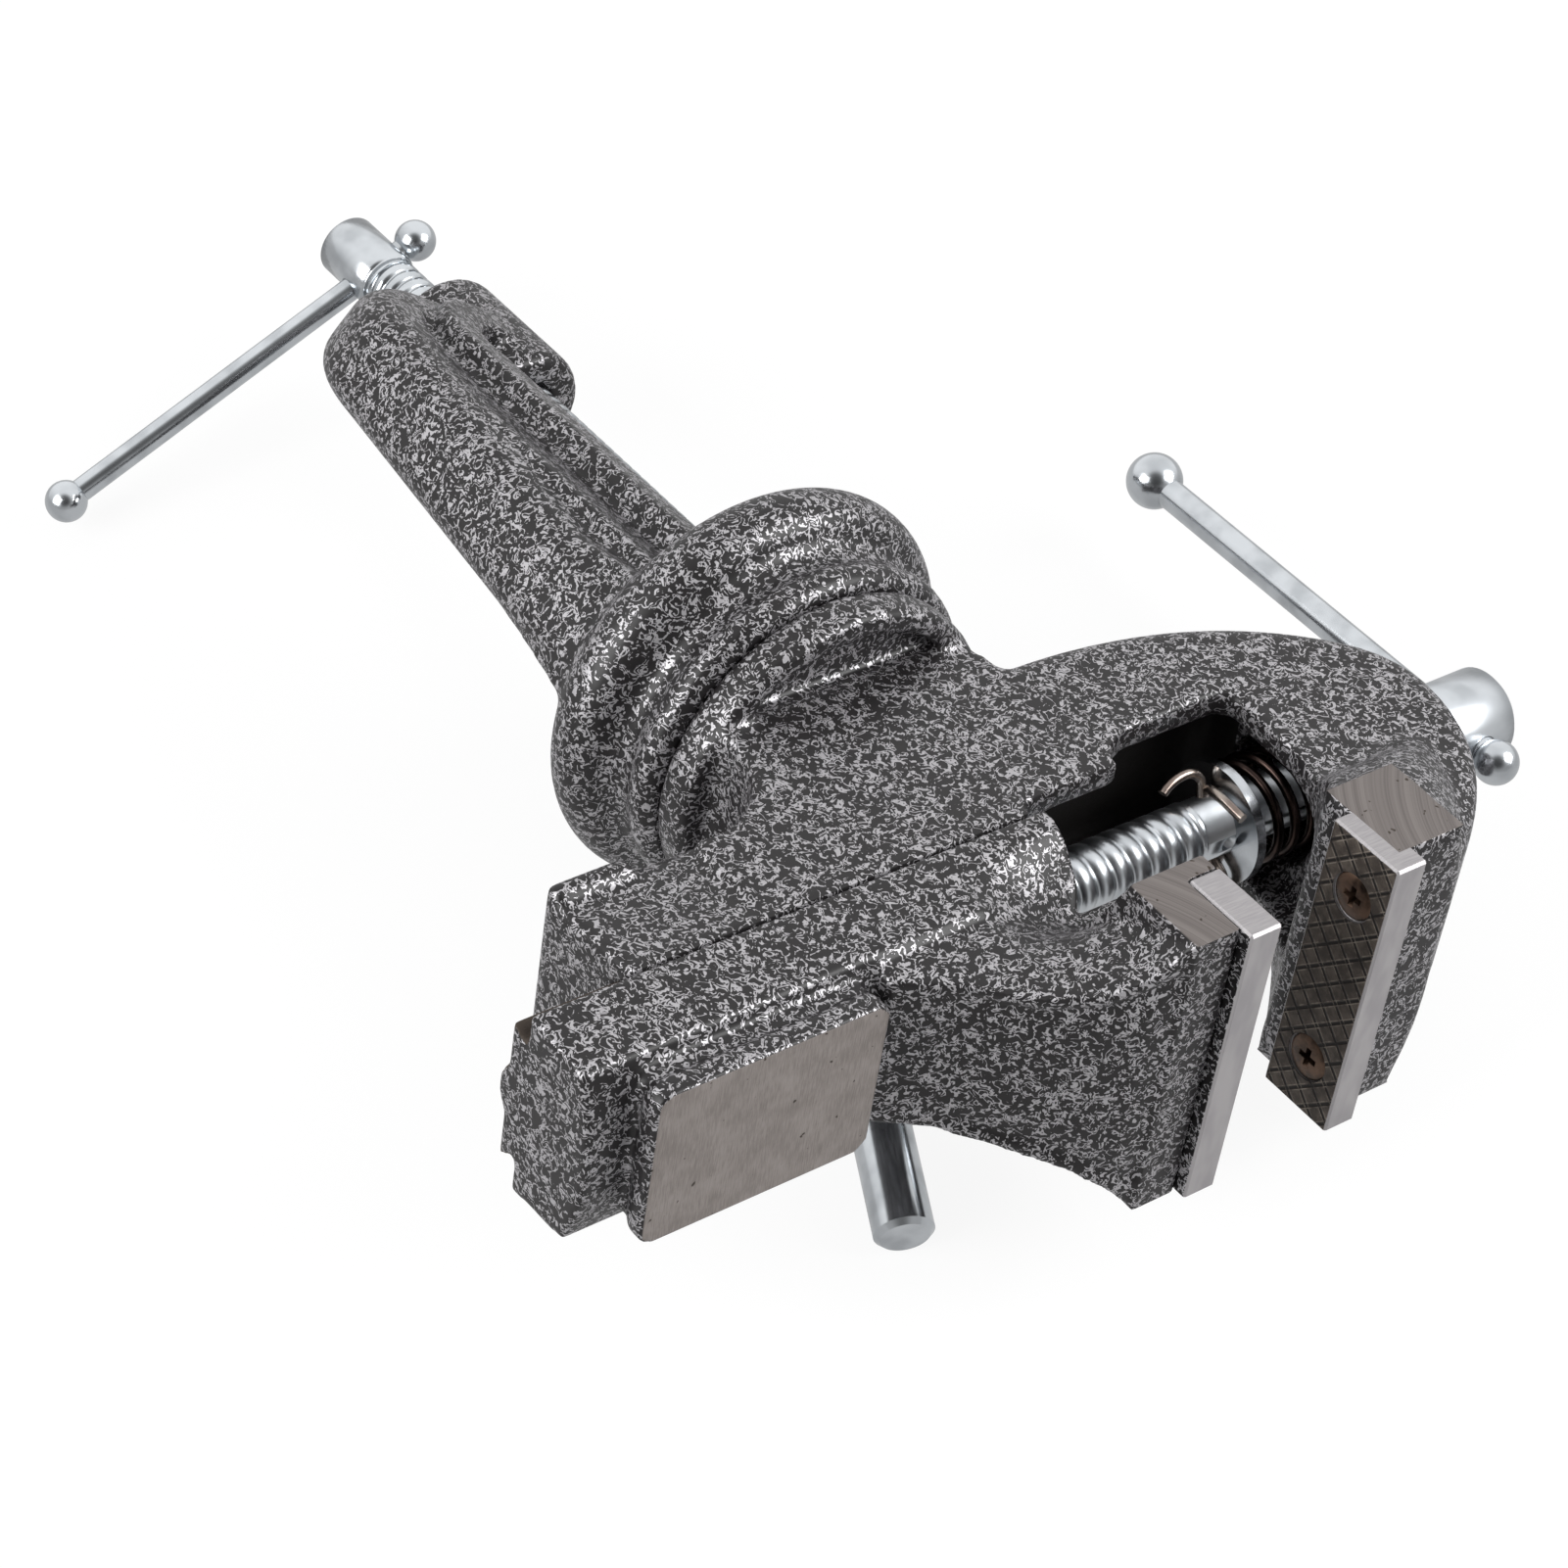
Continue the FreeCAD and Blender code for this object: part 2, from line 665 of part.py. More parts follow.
def lock_shoe():
    """Soft plug between the lock screw and the swivel pin."""
    face = PIN_R - 2.2 + APART
    plug = rod(at(0, -14.1, LOCK_Z), at(0, -PIN_R - 1.4, LOCK_Z), LOCK_SCREW_R - RUNNING)
    reach = PIN_R + 1.4 - face
    nose = Part.makeCone(LOCK_SCREW_R - 2.5, 0.9, reach, at(0, -PIN_R - 1.4, LOCK_Z), at(0, 1, 0))
    return plug.fuse(nose)


# ---- slider ------------------------------------------------------------------

def slider_beam():
    """Crowned beam with the dovetail tongue below it."""
    side_z = BEAM_EDGE_Z
    half = SLIDER_HALF
    seat = SLIDER_SEAT_Z
    steps = [
        (half, seat),
        (half - 1.1, side_z),
        ((0, SLIDER_CROWN_Z), (-half + 1.1, side_z)),
        (-half, seat),
        (-NECK_HALF, seat),
        (-NECK_HALF, seat - 1.2),
        (-TONGUE_HALF, TONGUE_Z),
        (TONGUE_HALF, TONGUE_Z),
        (NECK_HALF, seat - 1.2),
    ]
    beam = cross_bar((NECK_HALF, seat), steps, SLIDER_REAR_X, SLIDER_FRONT_X)
    boss = rod(at(SLIDER_REAR_X, 0, SPINDLE_Z), at(SLIDER_FRONT_X, 0, SPINDLE_Z), SPINDLE_R + 1.7)
    return beam.fuse(boss)


def anvil():
    pad = block(ANVIL_REAR_X, ANVIL_FRONT_X, ANVIL_HALF, SLIDER_CROWN_Z - 8, ANVIL_TOP_Z)
    corners = [edge for edge in pad.Edges if edge.BoundBox.ZLength > 5]
    return pad.makeFillet(3.0, corners)


def moving_jaw_section(x, top_z, half, foot_half):
    """Slice across the moving jaw: level top, hollow flanks down to the beam."""
    foot_z = BEAM_EDGE_Z
    bow_y = foot_half + 0.44 * (half - foot_half)
    bow_z = foot_z + 0.55 * (top_z - foot_z)
    steps = [
        (half, top_z),
        ((bow_y, bow_z), (foot_half, foot_z)),
        (foot_half, SLIDER_SEAT_Z + 4),
        (-foot_half, SLIDER_SEAT_Z + 4),
        (-foot_half, foot_z),
        ((-bow_y, bow_z), (-half, top_z)),
    ]
    wire = closed_outline((-half, top_z), steps, in_yz)
    wire.translate(at(x, 0, 0))
    return wire


def moving_jaw():
    """Moving jaw, fanning out from the beam to the full jaw width."""
    foot = SLIDER_HALF - 2.6
    rise = CASTING_TOP_Z - SLIDER_CROWN_Z
    spread = JAW_HALF - ANVIL_HALF
    stations = (
        (-54.5, 0.03, 0.0),
        (-44.5, 0.26, 0.04),
        (-36.5, 0.58, 0.10),
        (-28.5, 0.825, 0.28),
        (-21.5, 0.96, 0.63),
        (-16.4, 1.0, 1.0),
    )
    fan = []
    for back, height, width in stations:
        top_z = SLIDER_CROWN_Z + height * rise
        half = ANVIL_HALF + width * spread
        fan.append(moving_jaw_section(REAR_FACE_X + back, top_z, half, foot))
    head = Part.makeLoft(fan, True, True)
    end_z = PLATE_BOTTOM_Z - 3.8
    top_z = CASTING_TOP_Z + 0.7
    steps = [
        (JAW_HALF, top_z),
        (JAW_HALF, end_z),
        ((foot + 4.4, end_z - 7), (foot, BEAM_EDGE_Z)),
        (foot, SLIDER_SEAT_Z + 4),
        (-foot, SLIDER_SEAT_Z + 4),
        (-foot, BEAM_EDGE_Z),
        ((-foot - 4.4, end_z - 7), (-JAW_HALF, end_z)),
        (-JAW_HALF, top_z),
    ]
    face = cross_bar((-JAW_HALF, top_z), steps, REAR_FACE_X - 16.5, REAR_FACE_X - 0.5)
    return head.fuse(face)


def slider():
    """Sliding beam with anvil and moving jaw, threaded for the spindle."""
    seat = block(REAR_SEAT_X, REAR_FACE_X + 5, JAW_HALF + 5, PLATE_BOTTOM_Z, PLATE_TOP_Z + 5)
    relief = block(SLIDER_FRONT_X, REAR_FACE_X + 5, JAW_HALF + 5, TONGUE_Z - 10, BEAM_EDGE_Z + 0.5)
    bore_start = at(SLIDER_REAR_X + 14.5, 0, SPINDLE_Z)
    bore = rod(bore_start, at(SLIDER_FRONT_X + 20, 0, SPINDLE_Z), SPINDLE_R + RUNNING)
    screws = [plate_screw_core(REAR_FACE_X, -1, y) for y in plate_screw_rows()]
    casting = slider_beam().fuse([anvil(), moving_jaw()])
    return casting.cut([seat, relief, bore] + screws)


# ---- jaw plates and their screws ---------------------------------------------

def plate_screw_rows():
    return (-PLATE_SCREW_SPACING / 2, PLATE_SCREW_SPACING / 2)


def plate_screw_core(face_x, inward, y):
    """Countersunk screw with its head flush in the plate's gripping face."""
    direction = at(inward, 0, 0)
    face = at(face_x, y, PLATE_MIDDLE_Z)
    sink = PLATE_SCREW_HEAD_R - PLATE_SCREW_R
    head = Part.makeCone(PLATE_SCREW_HEAD_R, PLATE_SCREW_R, sink, face + direction * 0.6, direction)
    rim = Part.makeCylinder(PLATE_SCREW_HEAD_R, 0.6, face, direction)
    stem = Part.makeCylinder(PLATE_SCREW_R, PLATE_SCREW_LENGTH, face, direction)
    return rim.fuse([head, stem])


def jaw_plate(low_x, face_x, inward):
    plate = Part.makeBox(
        PLATE_THICKNESS, JAW_WIDTH, PLATE_HEIGHT, at(low_x, -JAW_HALF, PLATE_BOTTOM_Z)
    )
    plate = plate.makeChamfer(0.5, plate.Edges)
    return plate.cut([plate_screw_core(face_x, inward, y) for y in plate_screw_rows()])


def plate_screws(face_x, inward):
    """The two screws of one plate."""
    return [plate_screw_core(face_x, inward, y) for y in plate_screw_rows()]


# ---- spindle -----------------------------------------------------------------

def main_spindle():
    """Threaded shaft with a smooth shank through the front wall and a turned head."""
    head_end = FRONT_FACE_X + SPINDLE_HEAD_LENGTH
    head_start = FRONT_FACE_X + SLIDING
    thread = rod(at(SPINDLE_END_X, 0, SPINDLE_Z), at(THREAD_END_X, 0, SPINDLE_Z), SPINDLE_R)
    thread = bevel_ends(thread, 1.0)
    shank = rod(at(THREAD_END_X, 0, SPINDLE_Z), at(head_start, 0, SPINDLE_Z), SHANK_R)
    head = rod(at(head_start, 0, SPINDLE_Z), at(head_end, 0, SPINDLE_Z), SPINDLE_HEAD_R)
    head = bevel_ends(head, 1.2)
    bar_hole = rod(at(SPINDLE_BAR_X, 0, SPINDLE_Z - 20), at(SPINDLE_BAR_X, 0, SPINDLE_Z + 20), BAR_R + SLIDING)
    cotter_hole = rod(at(cotter_x(), 0, SPINDLE_Z - 20), at(cotter_x(), 0, SPINDLE_Z + 20), COTTER_R)
    return thread.fuse([shank, head]).cut([bar_hole, cotter_hole])


def cotter_x():
    return WASHER_X - COTTER_R - 0.2


def split_pin():
    """Split pin through the spindle: eye below, the two legs bent apart above."""
    x = cotter_x()
    top = SPINDLE_Z + SHANK_R + 1.6
    low = SPINDLE_Z - SHANK_R - 0.4
    body = rod(at(x, 0, low), at(x, 0, top), COTTER_R)
    middle = at(x - 1.1, 0, low - 2.2)
    eye = Part.makeCylinder(3.5, 2.2, middle, at(1, 0, 0))
    eye = eye.cut(Part.makeCylinder(1.5, 2.2, middle, at(1, 0, 0)))
    legs = []
    for side in (-1, 1):
        tip = at(x, side * 4.6, top + 1.2)
        legs.append(rod(at(x, 0, top - 0.9), tip, 0.9))
    return body.fuse([eye] + legs)


def spindle_washer():
    ring = rod(at(WASHER_X, 0, SPINDLE_Z), at(WASHER_X + WASHER_THICKNESS, 0, SPINDLE_Z), WASHER_R)
    hole = rod(at(WASHER_X - 1, 0, SPINDLE_Z), at(WASHER_X + 5, 0, SPINDLE_Z), SHANK_R + SLIDING)
    return ring.cut(hole)


def spindle_spring():
    """Coil spring that draws the spindle's head against the front wall, six-sided wire."""
    start_x = WASHER_X + WASHER_THICKNESS + SPRING_WIRE_R + SLIDING
    length = SPRING_SEAT_X - SPRING_WIRE_R - SLIDING - start_x
    coil_r = SPRING_R - SPRING_WIRE_R
    steps = int(12 * SPRING_TURNS)
    rings = []
    for step in range(steps + 1):
        turn = 2 * math.pi * SPRING_TURNS * step / steps
        middle_x = start_x + length * step / steps
        corners = []
        for side in range(6):
            angle = math.pi / 3 * side
            out = coil_r + SPRING_WIRE_R * math.cos(angle)
            along = middle_x + SPRING_WIRE_R * math.sin(angle)
            corners.append(at(along, out * math.cos(turn), SPINDLE_Z + out * math.sin(turn)))
        rings.append(Part.makePolygon(corners + corners[:1]))
    return Part.makeLoft(rings, True, True)


def spindle_ball_heights():
    """Heights of the small ball, resting on the head, and of the large ball below."""
    rest = math.sqrt(SMALL_BALL_R ** 2 - BAR_R ** 2) + APART
    high = SPINDLE_Z + SPINDLE_HEAD_R + rest
    return high, high - BAR_BALL_SPAN


def spindle_bar():
    high, low = spindle_ball_heights()
    return rod(at(SPINDLE_BAR_X, 0, low), at(SPINDLE_BAR_X, 0, high), BAR_R)


def bar_ball(radius, z):
    return Part.makeSphere(radius, at(SPINDLE_BAR_X, 0, z)).cut(spindle_bar())


# ---- files -------------------------------------------------------------------

def build():
    os.makedirs("parts", exist_ok=True)
    high, low = spindle_ball_heights()
    save(clamp_bracket(), "clamp_bracket")
    save(swivel_pin(), "swivel_pin")
    save(clamp_screw(), "clamp_screw")
    save(clamp_pad(), "clamp_pad")
    save(clamp_bar(), "clamp_bar")
    save(Part.makeCompound(clamp_bar_balls()), "clamp_bar_balls")
    save(vise_body(), "vise_body")
    save(lock_screw(), "lock_screw")
    save(lock_lever(), "lock_lever")
    save(lock_shoe(), "lock_shoe")
    save(slider(), "slider")
    save(jaw_plate(REAR_SEAT_X, REAR_FACE_X, -1), "rear_jaw_plate")
    save(jaw_plate(FRONT_FACE_PLATE_X, FRONT_FACE_PLATE_X, 1), "front_jaw_plate")
    save(Part.makeCompound(plate_screws(REAR_FACE_X, -1)), "rear_plate_screws")
    save(Part.makeCompound(plate_screws(FRONT_FACE_PLATE_X, 1)), "front_plate_screws")
    save(main_spindle(), "main_spindle")
    save(spindle_washer(), "spindle_washer")
    save(split_pin(), "split_pin")
    save(spindle_spring(), "spindle_spring")
    save(spindle_bar(), "spindle_bar")
    save(bar_ball(SMALL_BALL_R, high), "spindle_bar_small_ball")
    save(bar_ball(LARGE_BALL_R, low), "spindle_bar_large_ball")


build()
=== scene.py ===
import json
import math

import bmesh
import bpy
from mathutils import Matrix, Vector


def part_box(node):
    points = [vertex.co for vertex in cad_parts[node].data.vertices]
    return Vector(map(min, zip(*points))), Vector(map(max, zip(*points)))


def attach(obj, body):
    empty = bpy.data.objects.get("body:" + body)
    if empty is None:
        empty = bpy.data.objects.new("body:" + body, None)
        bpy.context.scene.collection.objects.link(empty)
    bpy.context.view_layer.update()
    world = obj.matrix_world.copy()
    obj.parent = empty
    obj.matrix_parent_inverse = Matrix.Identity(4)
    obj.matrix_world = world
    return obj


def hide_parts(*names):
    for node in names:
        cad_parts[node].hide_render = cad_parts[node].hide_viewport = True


# Looks of a clamp-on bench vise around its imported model. Metres, with X along the
# spindle towards its handle, Z up from the bench and the origin on the swivel axis.

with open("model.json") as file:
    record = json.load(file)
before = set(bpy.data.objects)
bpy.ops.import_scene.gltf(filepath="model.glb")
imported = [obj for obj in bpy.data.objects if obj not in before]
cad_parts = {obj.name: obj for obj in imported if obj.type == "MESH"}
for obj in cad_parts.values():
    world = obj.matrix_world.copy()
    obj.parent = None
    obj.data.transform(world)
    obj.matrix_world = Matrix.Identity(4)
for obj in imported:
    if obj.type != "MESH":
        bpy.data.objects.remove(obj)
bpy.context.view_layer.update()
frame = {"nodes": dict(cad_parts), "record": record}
NODES = frame["nodes"]
MM = 0.001


def mm(*values):
    """Place or size in millimetres, as metres."""
    return tuple(value * MM for value in values)


# ---- places read from the model -----------------------------------------------

SLIDER_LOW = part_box("slider")[0]
REAR_PLATE_LOW, REAR_PLATE_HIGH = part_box("rear_jaw_plate")
FRONT_PLATE_LOW, FRONT_PLATE_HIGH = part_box("front_jaw_plate")
SPINDLE_LOW, SPINDLE_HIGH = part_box("main_spindle")
WASHER_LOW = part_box("spindle_washer")[0]
SPRING_LOW, SPRING_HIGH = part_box("spindle_spring")
COTTER_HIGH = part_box("split_pin")[1]
CLAMP_LOW, CLAMP_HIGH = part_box("clamp_screw")
PIN_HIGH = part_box("swivel_pin")[1]
ANVIL = [mount for mount in frame["record"]["mounts"] if mount["name"] == "anvil_face"][0]["pos_m"]

ANVIL_X = ANVIL[0]
ANVIL_TOP = ANVIL[2]
SPINDLE_Z = (SPINDLE_LOW.z + SPINDLE_HIGH.z) / 2
CLAMP_X = (CLAMP_LOW.x + CLAMP_HIGH.x) / 2
CLAMP_Y = (CLAMP_LOW.y + CLAMP_HIGH.y) / 2
JAW_END_Y = REAR_PLATE_HIGH.y

# ---- sizes of the castings ----------------------------------------------------

CAST_STEP = 1.0 * MM
FINE_CAST_STEP = 0.68 * MM
SMOOTHING_ROUNDS = 4
SHARP_ANGLE = math.radians(40)
SURFACE_SLACK = 0.05 * MM
FAR = 1.0

# The neck of the moving jaw narrows under the wings, and the beam below it reaches forward.
# Spans are pairs of mm, over which a change sets in.
NECK_X = (-15, 4)
NECK_LOW_Z = (80, 91)
NECK_HIGH_Z = (95, 107.5)
NECK_DRAW = 0.5
BEAM_END_X = (-12, 4)
BEAM_TOP_Z = (87, 94)
BEAM_EXTRA = 4 * MM
BORE_R = 6.7 * MM
BORE_CORE_R = 4 * MM
BORE_START_X = SLIDER_LOW.x + 14 * MM

# In front of and above these two places the moving jaw keeps sharper edges.
CRISP_BACK_X = -31 * MM
CRISP_LOW_Z = 97 * MM

# The fan above the neck, in mm. Its back falls away from the crest, and its rim widens forward.
# The lip is how the back lies inside that rim: deepest just inside the edge, gone at its reach.
FAN_BACK_X = -29
FAN_FRONT_X = 0
FAN_CREST_X = 2
FAN_CREST_Z = 124
FAN_FALL = 0.026
FAN_SKIN = 1.6
RIM_START_X = -24
RIM_START_Y = 15.4
RIM_WIDEST_Y = 24.2
RIM_SPREAD = 0.021
LIP_DEPTH = 0.9
LIP_EDGE = (0.5, 1.3)
LIP_REACH = 7
LIP_SLANT = 0.7

# The outer ends of both jaws are ground, a little way below the plates too. The rear jaw is
# the moving one. The bare finish starts just inside the face that is ground.
WING_WIDTH = 6 * MM
GROUND_SKIN = 0.08 * MM
GROUND_END_DROP = 6.4 * MM
GROUND_EDGE_LOW_Z = REAR_PLATE_LOW.z - GROUND_END_DROP - 5 * MM
REAR_GROUND_LOW_X = REAR_PLATE_LOW.x - 12.6 * MM
REAR_GROUND_LOW_Z = REAR_PLATE_LOW.z - 10.5 * MM
REAR_END_BACK_X = 0.6 * MM
REAR_END_LOW_Z = REAR_PLATE_LOW.z - 3.8 * MM
REAR_END_HIGH_Z = REAR_PLATE_LOW.z + 3 * MM
FRONT_END_LOW_X = FRONT_PLATE_LOW.x + 3.8 * MM
FRONT_END_HIGH_X = FRONT_PLATE_HIGH.x + 12.2 * MM
FRONT_END_LOW_Z = FRONT_PLATE_LOW.z - GROUND_END_DROP
FRONT_END_HIGH_Z = FRONT_PLATE_LOW.z + 12 * MM

# Centres, in X and Z, of the arcs that a face mill left on each jaw's ground ends.
REAR_MILL = (REAR_PLATE_LOW.x - 42 * MM, REAR_PLATE_HIGH.z + 4 * MM)
FRONT_MILL = (FRONT_PLATE_LOW.x + 50 * MM, FRONT_PLATE_HIGH.z + 12 * MM)

ANVIL_FRONT_X = SLIDER_LOW.x + 60 * MM
ANVIL_SKIN = 0.1 * MM
PAD_HALF_X = 23.6 * MM
PAD_HALF_Y = 16.6 * MM
PAD_FRONT_TRIM = 0.6 * MM
PAD_THICKNESS = 4 * MM
PAD_CORNER = 3.5 * MM

# Boxes as their two corners: the slider's unpainted rear flank, the two stretches of the
# body's cored space that are painted near black as shade, and the deeper rear end of the bed.
BARE_FLANK = ((-95.2 * MM, -FAR, 60 * MM), (-60 * MM, FAR, 76.5 * MM))
OPENING_HALF_Y = 13.9 * MM
OPENING_SHADE = (
    (14 * MM, -OPENING_HALF_Y, PIN_HIGH.z - 2 * MM),
    (FRONT_PLATE_HIGH.x + 18 * MM, OPENING_HALF_Y, 66.2 * MM),
)
TUNNEL_SHADE = (mm(-64, -8.6, 58.5), mm(32, 8.6, 75.2))
BED_END = (mm(-75.5, -18.8, 51.4), mm(-60, 18.8, 55))

# ---- sizes of threads, spring, pin and screws ---------------------------------

THREAD_R = 6.0 * MM
THREAD_DEPTH = 0.6 * MM
THREAD_STEPS = 48
SPINDLE_PITCH = 4.0 * MM
SPINDLE_THREAD_END = WASHER_LOW.x - 6.6 * MM
SPINDLE_OVERLAP = 0.4 * MM
CLAMP_PITCH = 3.0 * MM
CLAMP_THREAD_LOW = -134.5 * MM
CLAMP_THREAD_HIGH = -23.0 * MM
CLAMP_OVERLAP = 0.3 * MM

SPRING_WIRE_R = 1.0 * MM
SPRING_TURNS = 5.5
SPRING_STEPS_PER_TURN = 32
SPRING_WIRE_SIDES = 12

# The split pin crosses the spindle at a slant. Its two wires lie side by side across it.
COTTER_WIRE_R = 0.95 * MM
COTTER_X = COTTER_HIGH.x - 1.4 * MM
COTTER_SIDE = Vector((0, 0.436, 0.9))
COTTER_OUT = Vector((0, 0.9, -0.436))

SCREW_HEAD_R = 4.5 * MM
SCREW_HEAD_STEPS = 40
RECESS_ARM = 0.75 * MM
RECESS_REACH = 2.6 * MM
RECESS_DEPTH = 2.4 * MM
RECESS_ABOVE = 1 * MM
RECESS_TAPER = 0.35
RECESS_LEAST = 0.3 * MM


# ---- shader arithmetic --------------------------------------------------------

class Value:
    """A node's output, which takes part in plain arithmetic."""

    def __init__(self, nodes, socket):
        self.nodes = nodes
        self.socket = socket

    def __add__(self, other):
        return self.nodes.math("ADD", self, other)

    def __radd__(self, other):
        return self.nodes.math("ADD", other, self)

    def __sub__(self, other):
        return self.nodes.math("SUBTRACT", self, other)

    def __rsub__(self, other):
        return self.nodes.math("SUBTRACT", other, self)

    def __mul__(self, other):
        return self.nodes.math("MULTIPLY", self, other)

    def __rmul__(self, other):
        return self.nodes.math("MULTIPLY", other, self)


class Nodes:
    """A node tree with the one method that makes its nodes."""

    def __init__(self, tree):
        self.tree = tree

    def node(self, kind, settings=None, inputs=None, output=0):
        """One output of a new node, from its settings and the values or links of its sockets."""
        made = self.tree.nodes.new(kind)
        for name, value in (settings or {}).items():
            setattr(made, name, value)
        for name, value in (inputs or {}).items():
            self.feed(made.inputs[name], value)
        return Value(self, made.outputs[output])

    def feed(self, socket, value):
        """Link a varying value to a socket, or write a plain one into it."""
        if isinstance(value, Value):
            self.tree.links.new(value.socket, socket)
        else:
            socket.default_value = value

    def math(self, operation, *values):
        return self.node("ShaderNodeMath", {"operation": operation}, dict(enumerate(values)))

    def most(self, values):
        """The largest of several values."""
        largest, *others = values
        for other in others:
            largest = self.math("MAXIMUM", largest, other)
        return largest

    def step(self, value, low, high, start=0.0, end=1.0):
        """Smooth change from start to end as the value goes from low to high."""
        inputs = {"Value": value, "From Min": low, "From Max": high, "To Min": start, "To Max": end}
        return self.node("ShaderNodeMapRange", {"interpolation_type": "SMOOTHSTEP"}, inputs)

    def blend(self, factor, first, second):
        """Mix of two shaders."""
        return self.node("ShaderNodeMixShader", None, {0: factor, 1: first, 2: second})


class Finish(Nodes):
    """A material with the patterns that the pieces share, on each piece's own coordinates."""

    def __init__(self, name, metallic=0.0, roughness=0.4):
        self.material = bpy.data.materials.new(name)
        self.material.use_nodes = True
        super().__init__(self.material.node_tree)
        self.shader = self.tree.nodes["Principled BSDF"]
        self.set("Metallic", metallic)
        self.set("Roughness", roughness)
        self.place = self.node("ShaderNodeTexCoord", output="Object")

    def set(self, name, value):
        self.feed(self.shader.inputs[name], value)

    def axes(self):
        """The place along X, Y and Z."""
        return [self.node("ShaderNodeSeparateXYZ", None, {0: self.place}, axis) for axis in range(3)]

    def stretched(self, x, y, z):
        """Coordinates scaled apart on each axis, for grain that runs one way."""
        return self.node("ShaderNodeVectorMath", {"operation": "MULTIPLY"}, {0: self.place, 1: (x, y, z)})

    def noise(self, scale, detail=2.0, roughness=0.5, distortion=0.0, place=None):
        inputs = {
            "Vector": place or self.place,
            "Scale": scale,
            "Detail": detail,
            "Roughness": roughness,
            "Distortion": distortion,
        }
        return self.node("ShaderNodeTexNoise", None, inputs)

    def grain(self, place, detail=2.0, roughness=0.6):
        """Noise on coordinates that are already scaled."""
        return self.noise(1.0, detail, roughness, 0.0, place)

    def mix(self, mask, first, second):
        """Mix of two colours. 6, 7 and 2 are the node's colour sockets."""
        return self.node("ShaderNodeMix", {"data_type": "RGBA"}, {"Factor": mask, 6: first, 7: second}, 2)

    def bump(self, height, strength, distance):
        inputs = {"Strength": strength, "Distance": distance, "Height": height}
        self.set("Normal", self.node("ShaderNodeBump", None, inputs))


def rgb(red, green, blue):
    """Colour from its screen values of 0 to 255."""
    return tuple(((c / 255 + 0.055) / 1.055) ** 2.4 for c in (red, green, blue)) + (1.0,)


# ---- finishes -----------------------------------------------------------------

WHITE = (1, 1, 1, 1)
ENAMEL_DARK = rgb(26, 24, 25)
ENAMEL_VEIN = rgb(172, 170, 173)
# Near black, painted as shade in the body's cored space.
CAVITY_SHADE_BLACK = rgb(17, 14, 13)
MILLED_IRON = (rgb(96, 90, 88), rgb(124, 118, 115))
ANVIL_IRON = (rgb(122, 115, 111), rgb(148, 141, 137))
BARE_BROWN = rgb(62, 54, 48)
ZINC = (rgb(206, 210, 214), rgb(178, 182, 186))
PLATE_DARK = (rgb(66, 59, 54), rgb(92, 84, 77))
PLATE_EDGE = (rgb(148, 145, 147), rgb(162, 159, 160))
# Painted shade in the hatch cuts, and a painted highlight along their edges.
HATCH_SHADE = rgb(30, 26, 24)
HATCH_HIGHLIGHT = rgb(140, 131, 121)
SCREW_GOLDEN = (rgb(66, 55, 48), rgb(112, 90, 76))
SPRING_OILED = (rgb(30, 25, 24), rgb(66, 54, 50))
PIN_OILED = (rgb(112, 98, 92), rgb(164, 154, 146))
STEEL = (rgb(112, 108, 106), rgb(150, 146, 142))
BRASS = (rgb(190, 158, 88), rgb(216, 186, 118))

VEIN_SCALE = 540.0
VEIN_BREAK_SCALE = 820.0
VEIN_SHARPNESS = 16
ENAMEL_SPECULAR = 0.32
ENAMEL_COAT = 0.04
ENAMEL_COAT_ROUGHNESS = 0.18
BRIGHT_ZINC = 0.11
SATIN_ZINC = 0.24

# The hatch is two sets of straight cuts across the plate's Y and Z, painted dark as shade, each with a
# painted highlight along its edges.
HATCH_ACROSS = 0.72
HATCH_UPWARD = 0.69
HATCH_HALF_SPACING = 1.75 * MM


def laid_over(base, mask, value):
    """The base where the mask is 0 and the value where it is 1."""
    return base * (1 - mask) + mask * value


def enamel_veins(finish):
    """Short branching pale veins of hammered enamel, 0 to 1."""
    wide = finish.noise(VEIN_SCALE, detail=2.0, roughness=0.6, distortion=1.1)
    ridge = 1 - finish.math("ABSOLUTE", wide - 0.5) * VEIN_SHARPNESS
    breaks = finish.noise(VEIN_BREAK_SCALE, detail=1.0, roughness=0.5, distortion=0.4)
    spots = finish.step(breaks, 0.36, 0.50)
    return finish.step(ridge * spots, 0.22, 0.46)


def box_mask(finish, low, high):
    """1 inside a box given by its corners, 0 outside, with a narrow edge."""
    soft = SURFACE_SLACK
    inside_x, inside_y, inside_z = (
        finish.step(axis, start - soft, start + soft) * finish.step(axis, end + soft, end - soft)
        for axis, start, end in zip(finish.axes(), low, high)
    )
    return inside_x * inside_y * inside_z


def any_box(finish, boxes):
    """1 inside any of the boxes."""
    return finish.most([box_mask(finish, low, high) for low, high in boxes])


def ground_grain(finish):
    """Fine grinding lines over faint clouds, around 0.5."""
    lines = finish.grain(finish.stretched(4200.0, 300.0, 300.0), detail=3.0)
    clouds = finish.noise(160.0, detail=3.0, roughness=0.6)
    return lines * 0.6 + clouds * 0.4


def milled_arcs(finish, centre_x, centre_z):
    """Curved marks that a face mill leaves, around 0.5."""
    x, _, z = finish.axes()
    away_x = x - centre_x
    away_z = z - centre_z
    out = finish.math("SQRT", away_x * away_x + away_z * away_z)
    coarse = finish.grain(finish.node("ShaderNodeCombineXYZ", None, {0: out * 520.0}))
    fine = finish.grain(finish.node("ShaderNodeCombineXYZ", None, {0: out * 2600.0}), roughness=0.7)
    return coarse * 0.55 + fine * 0.45


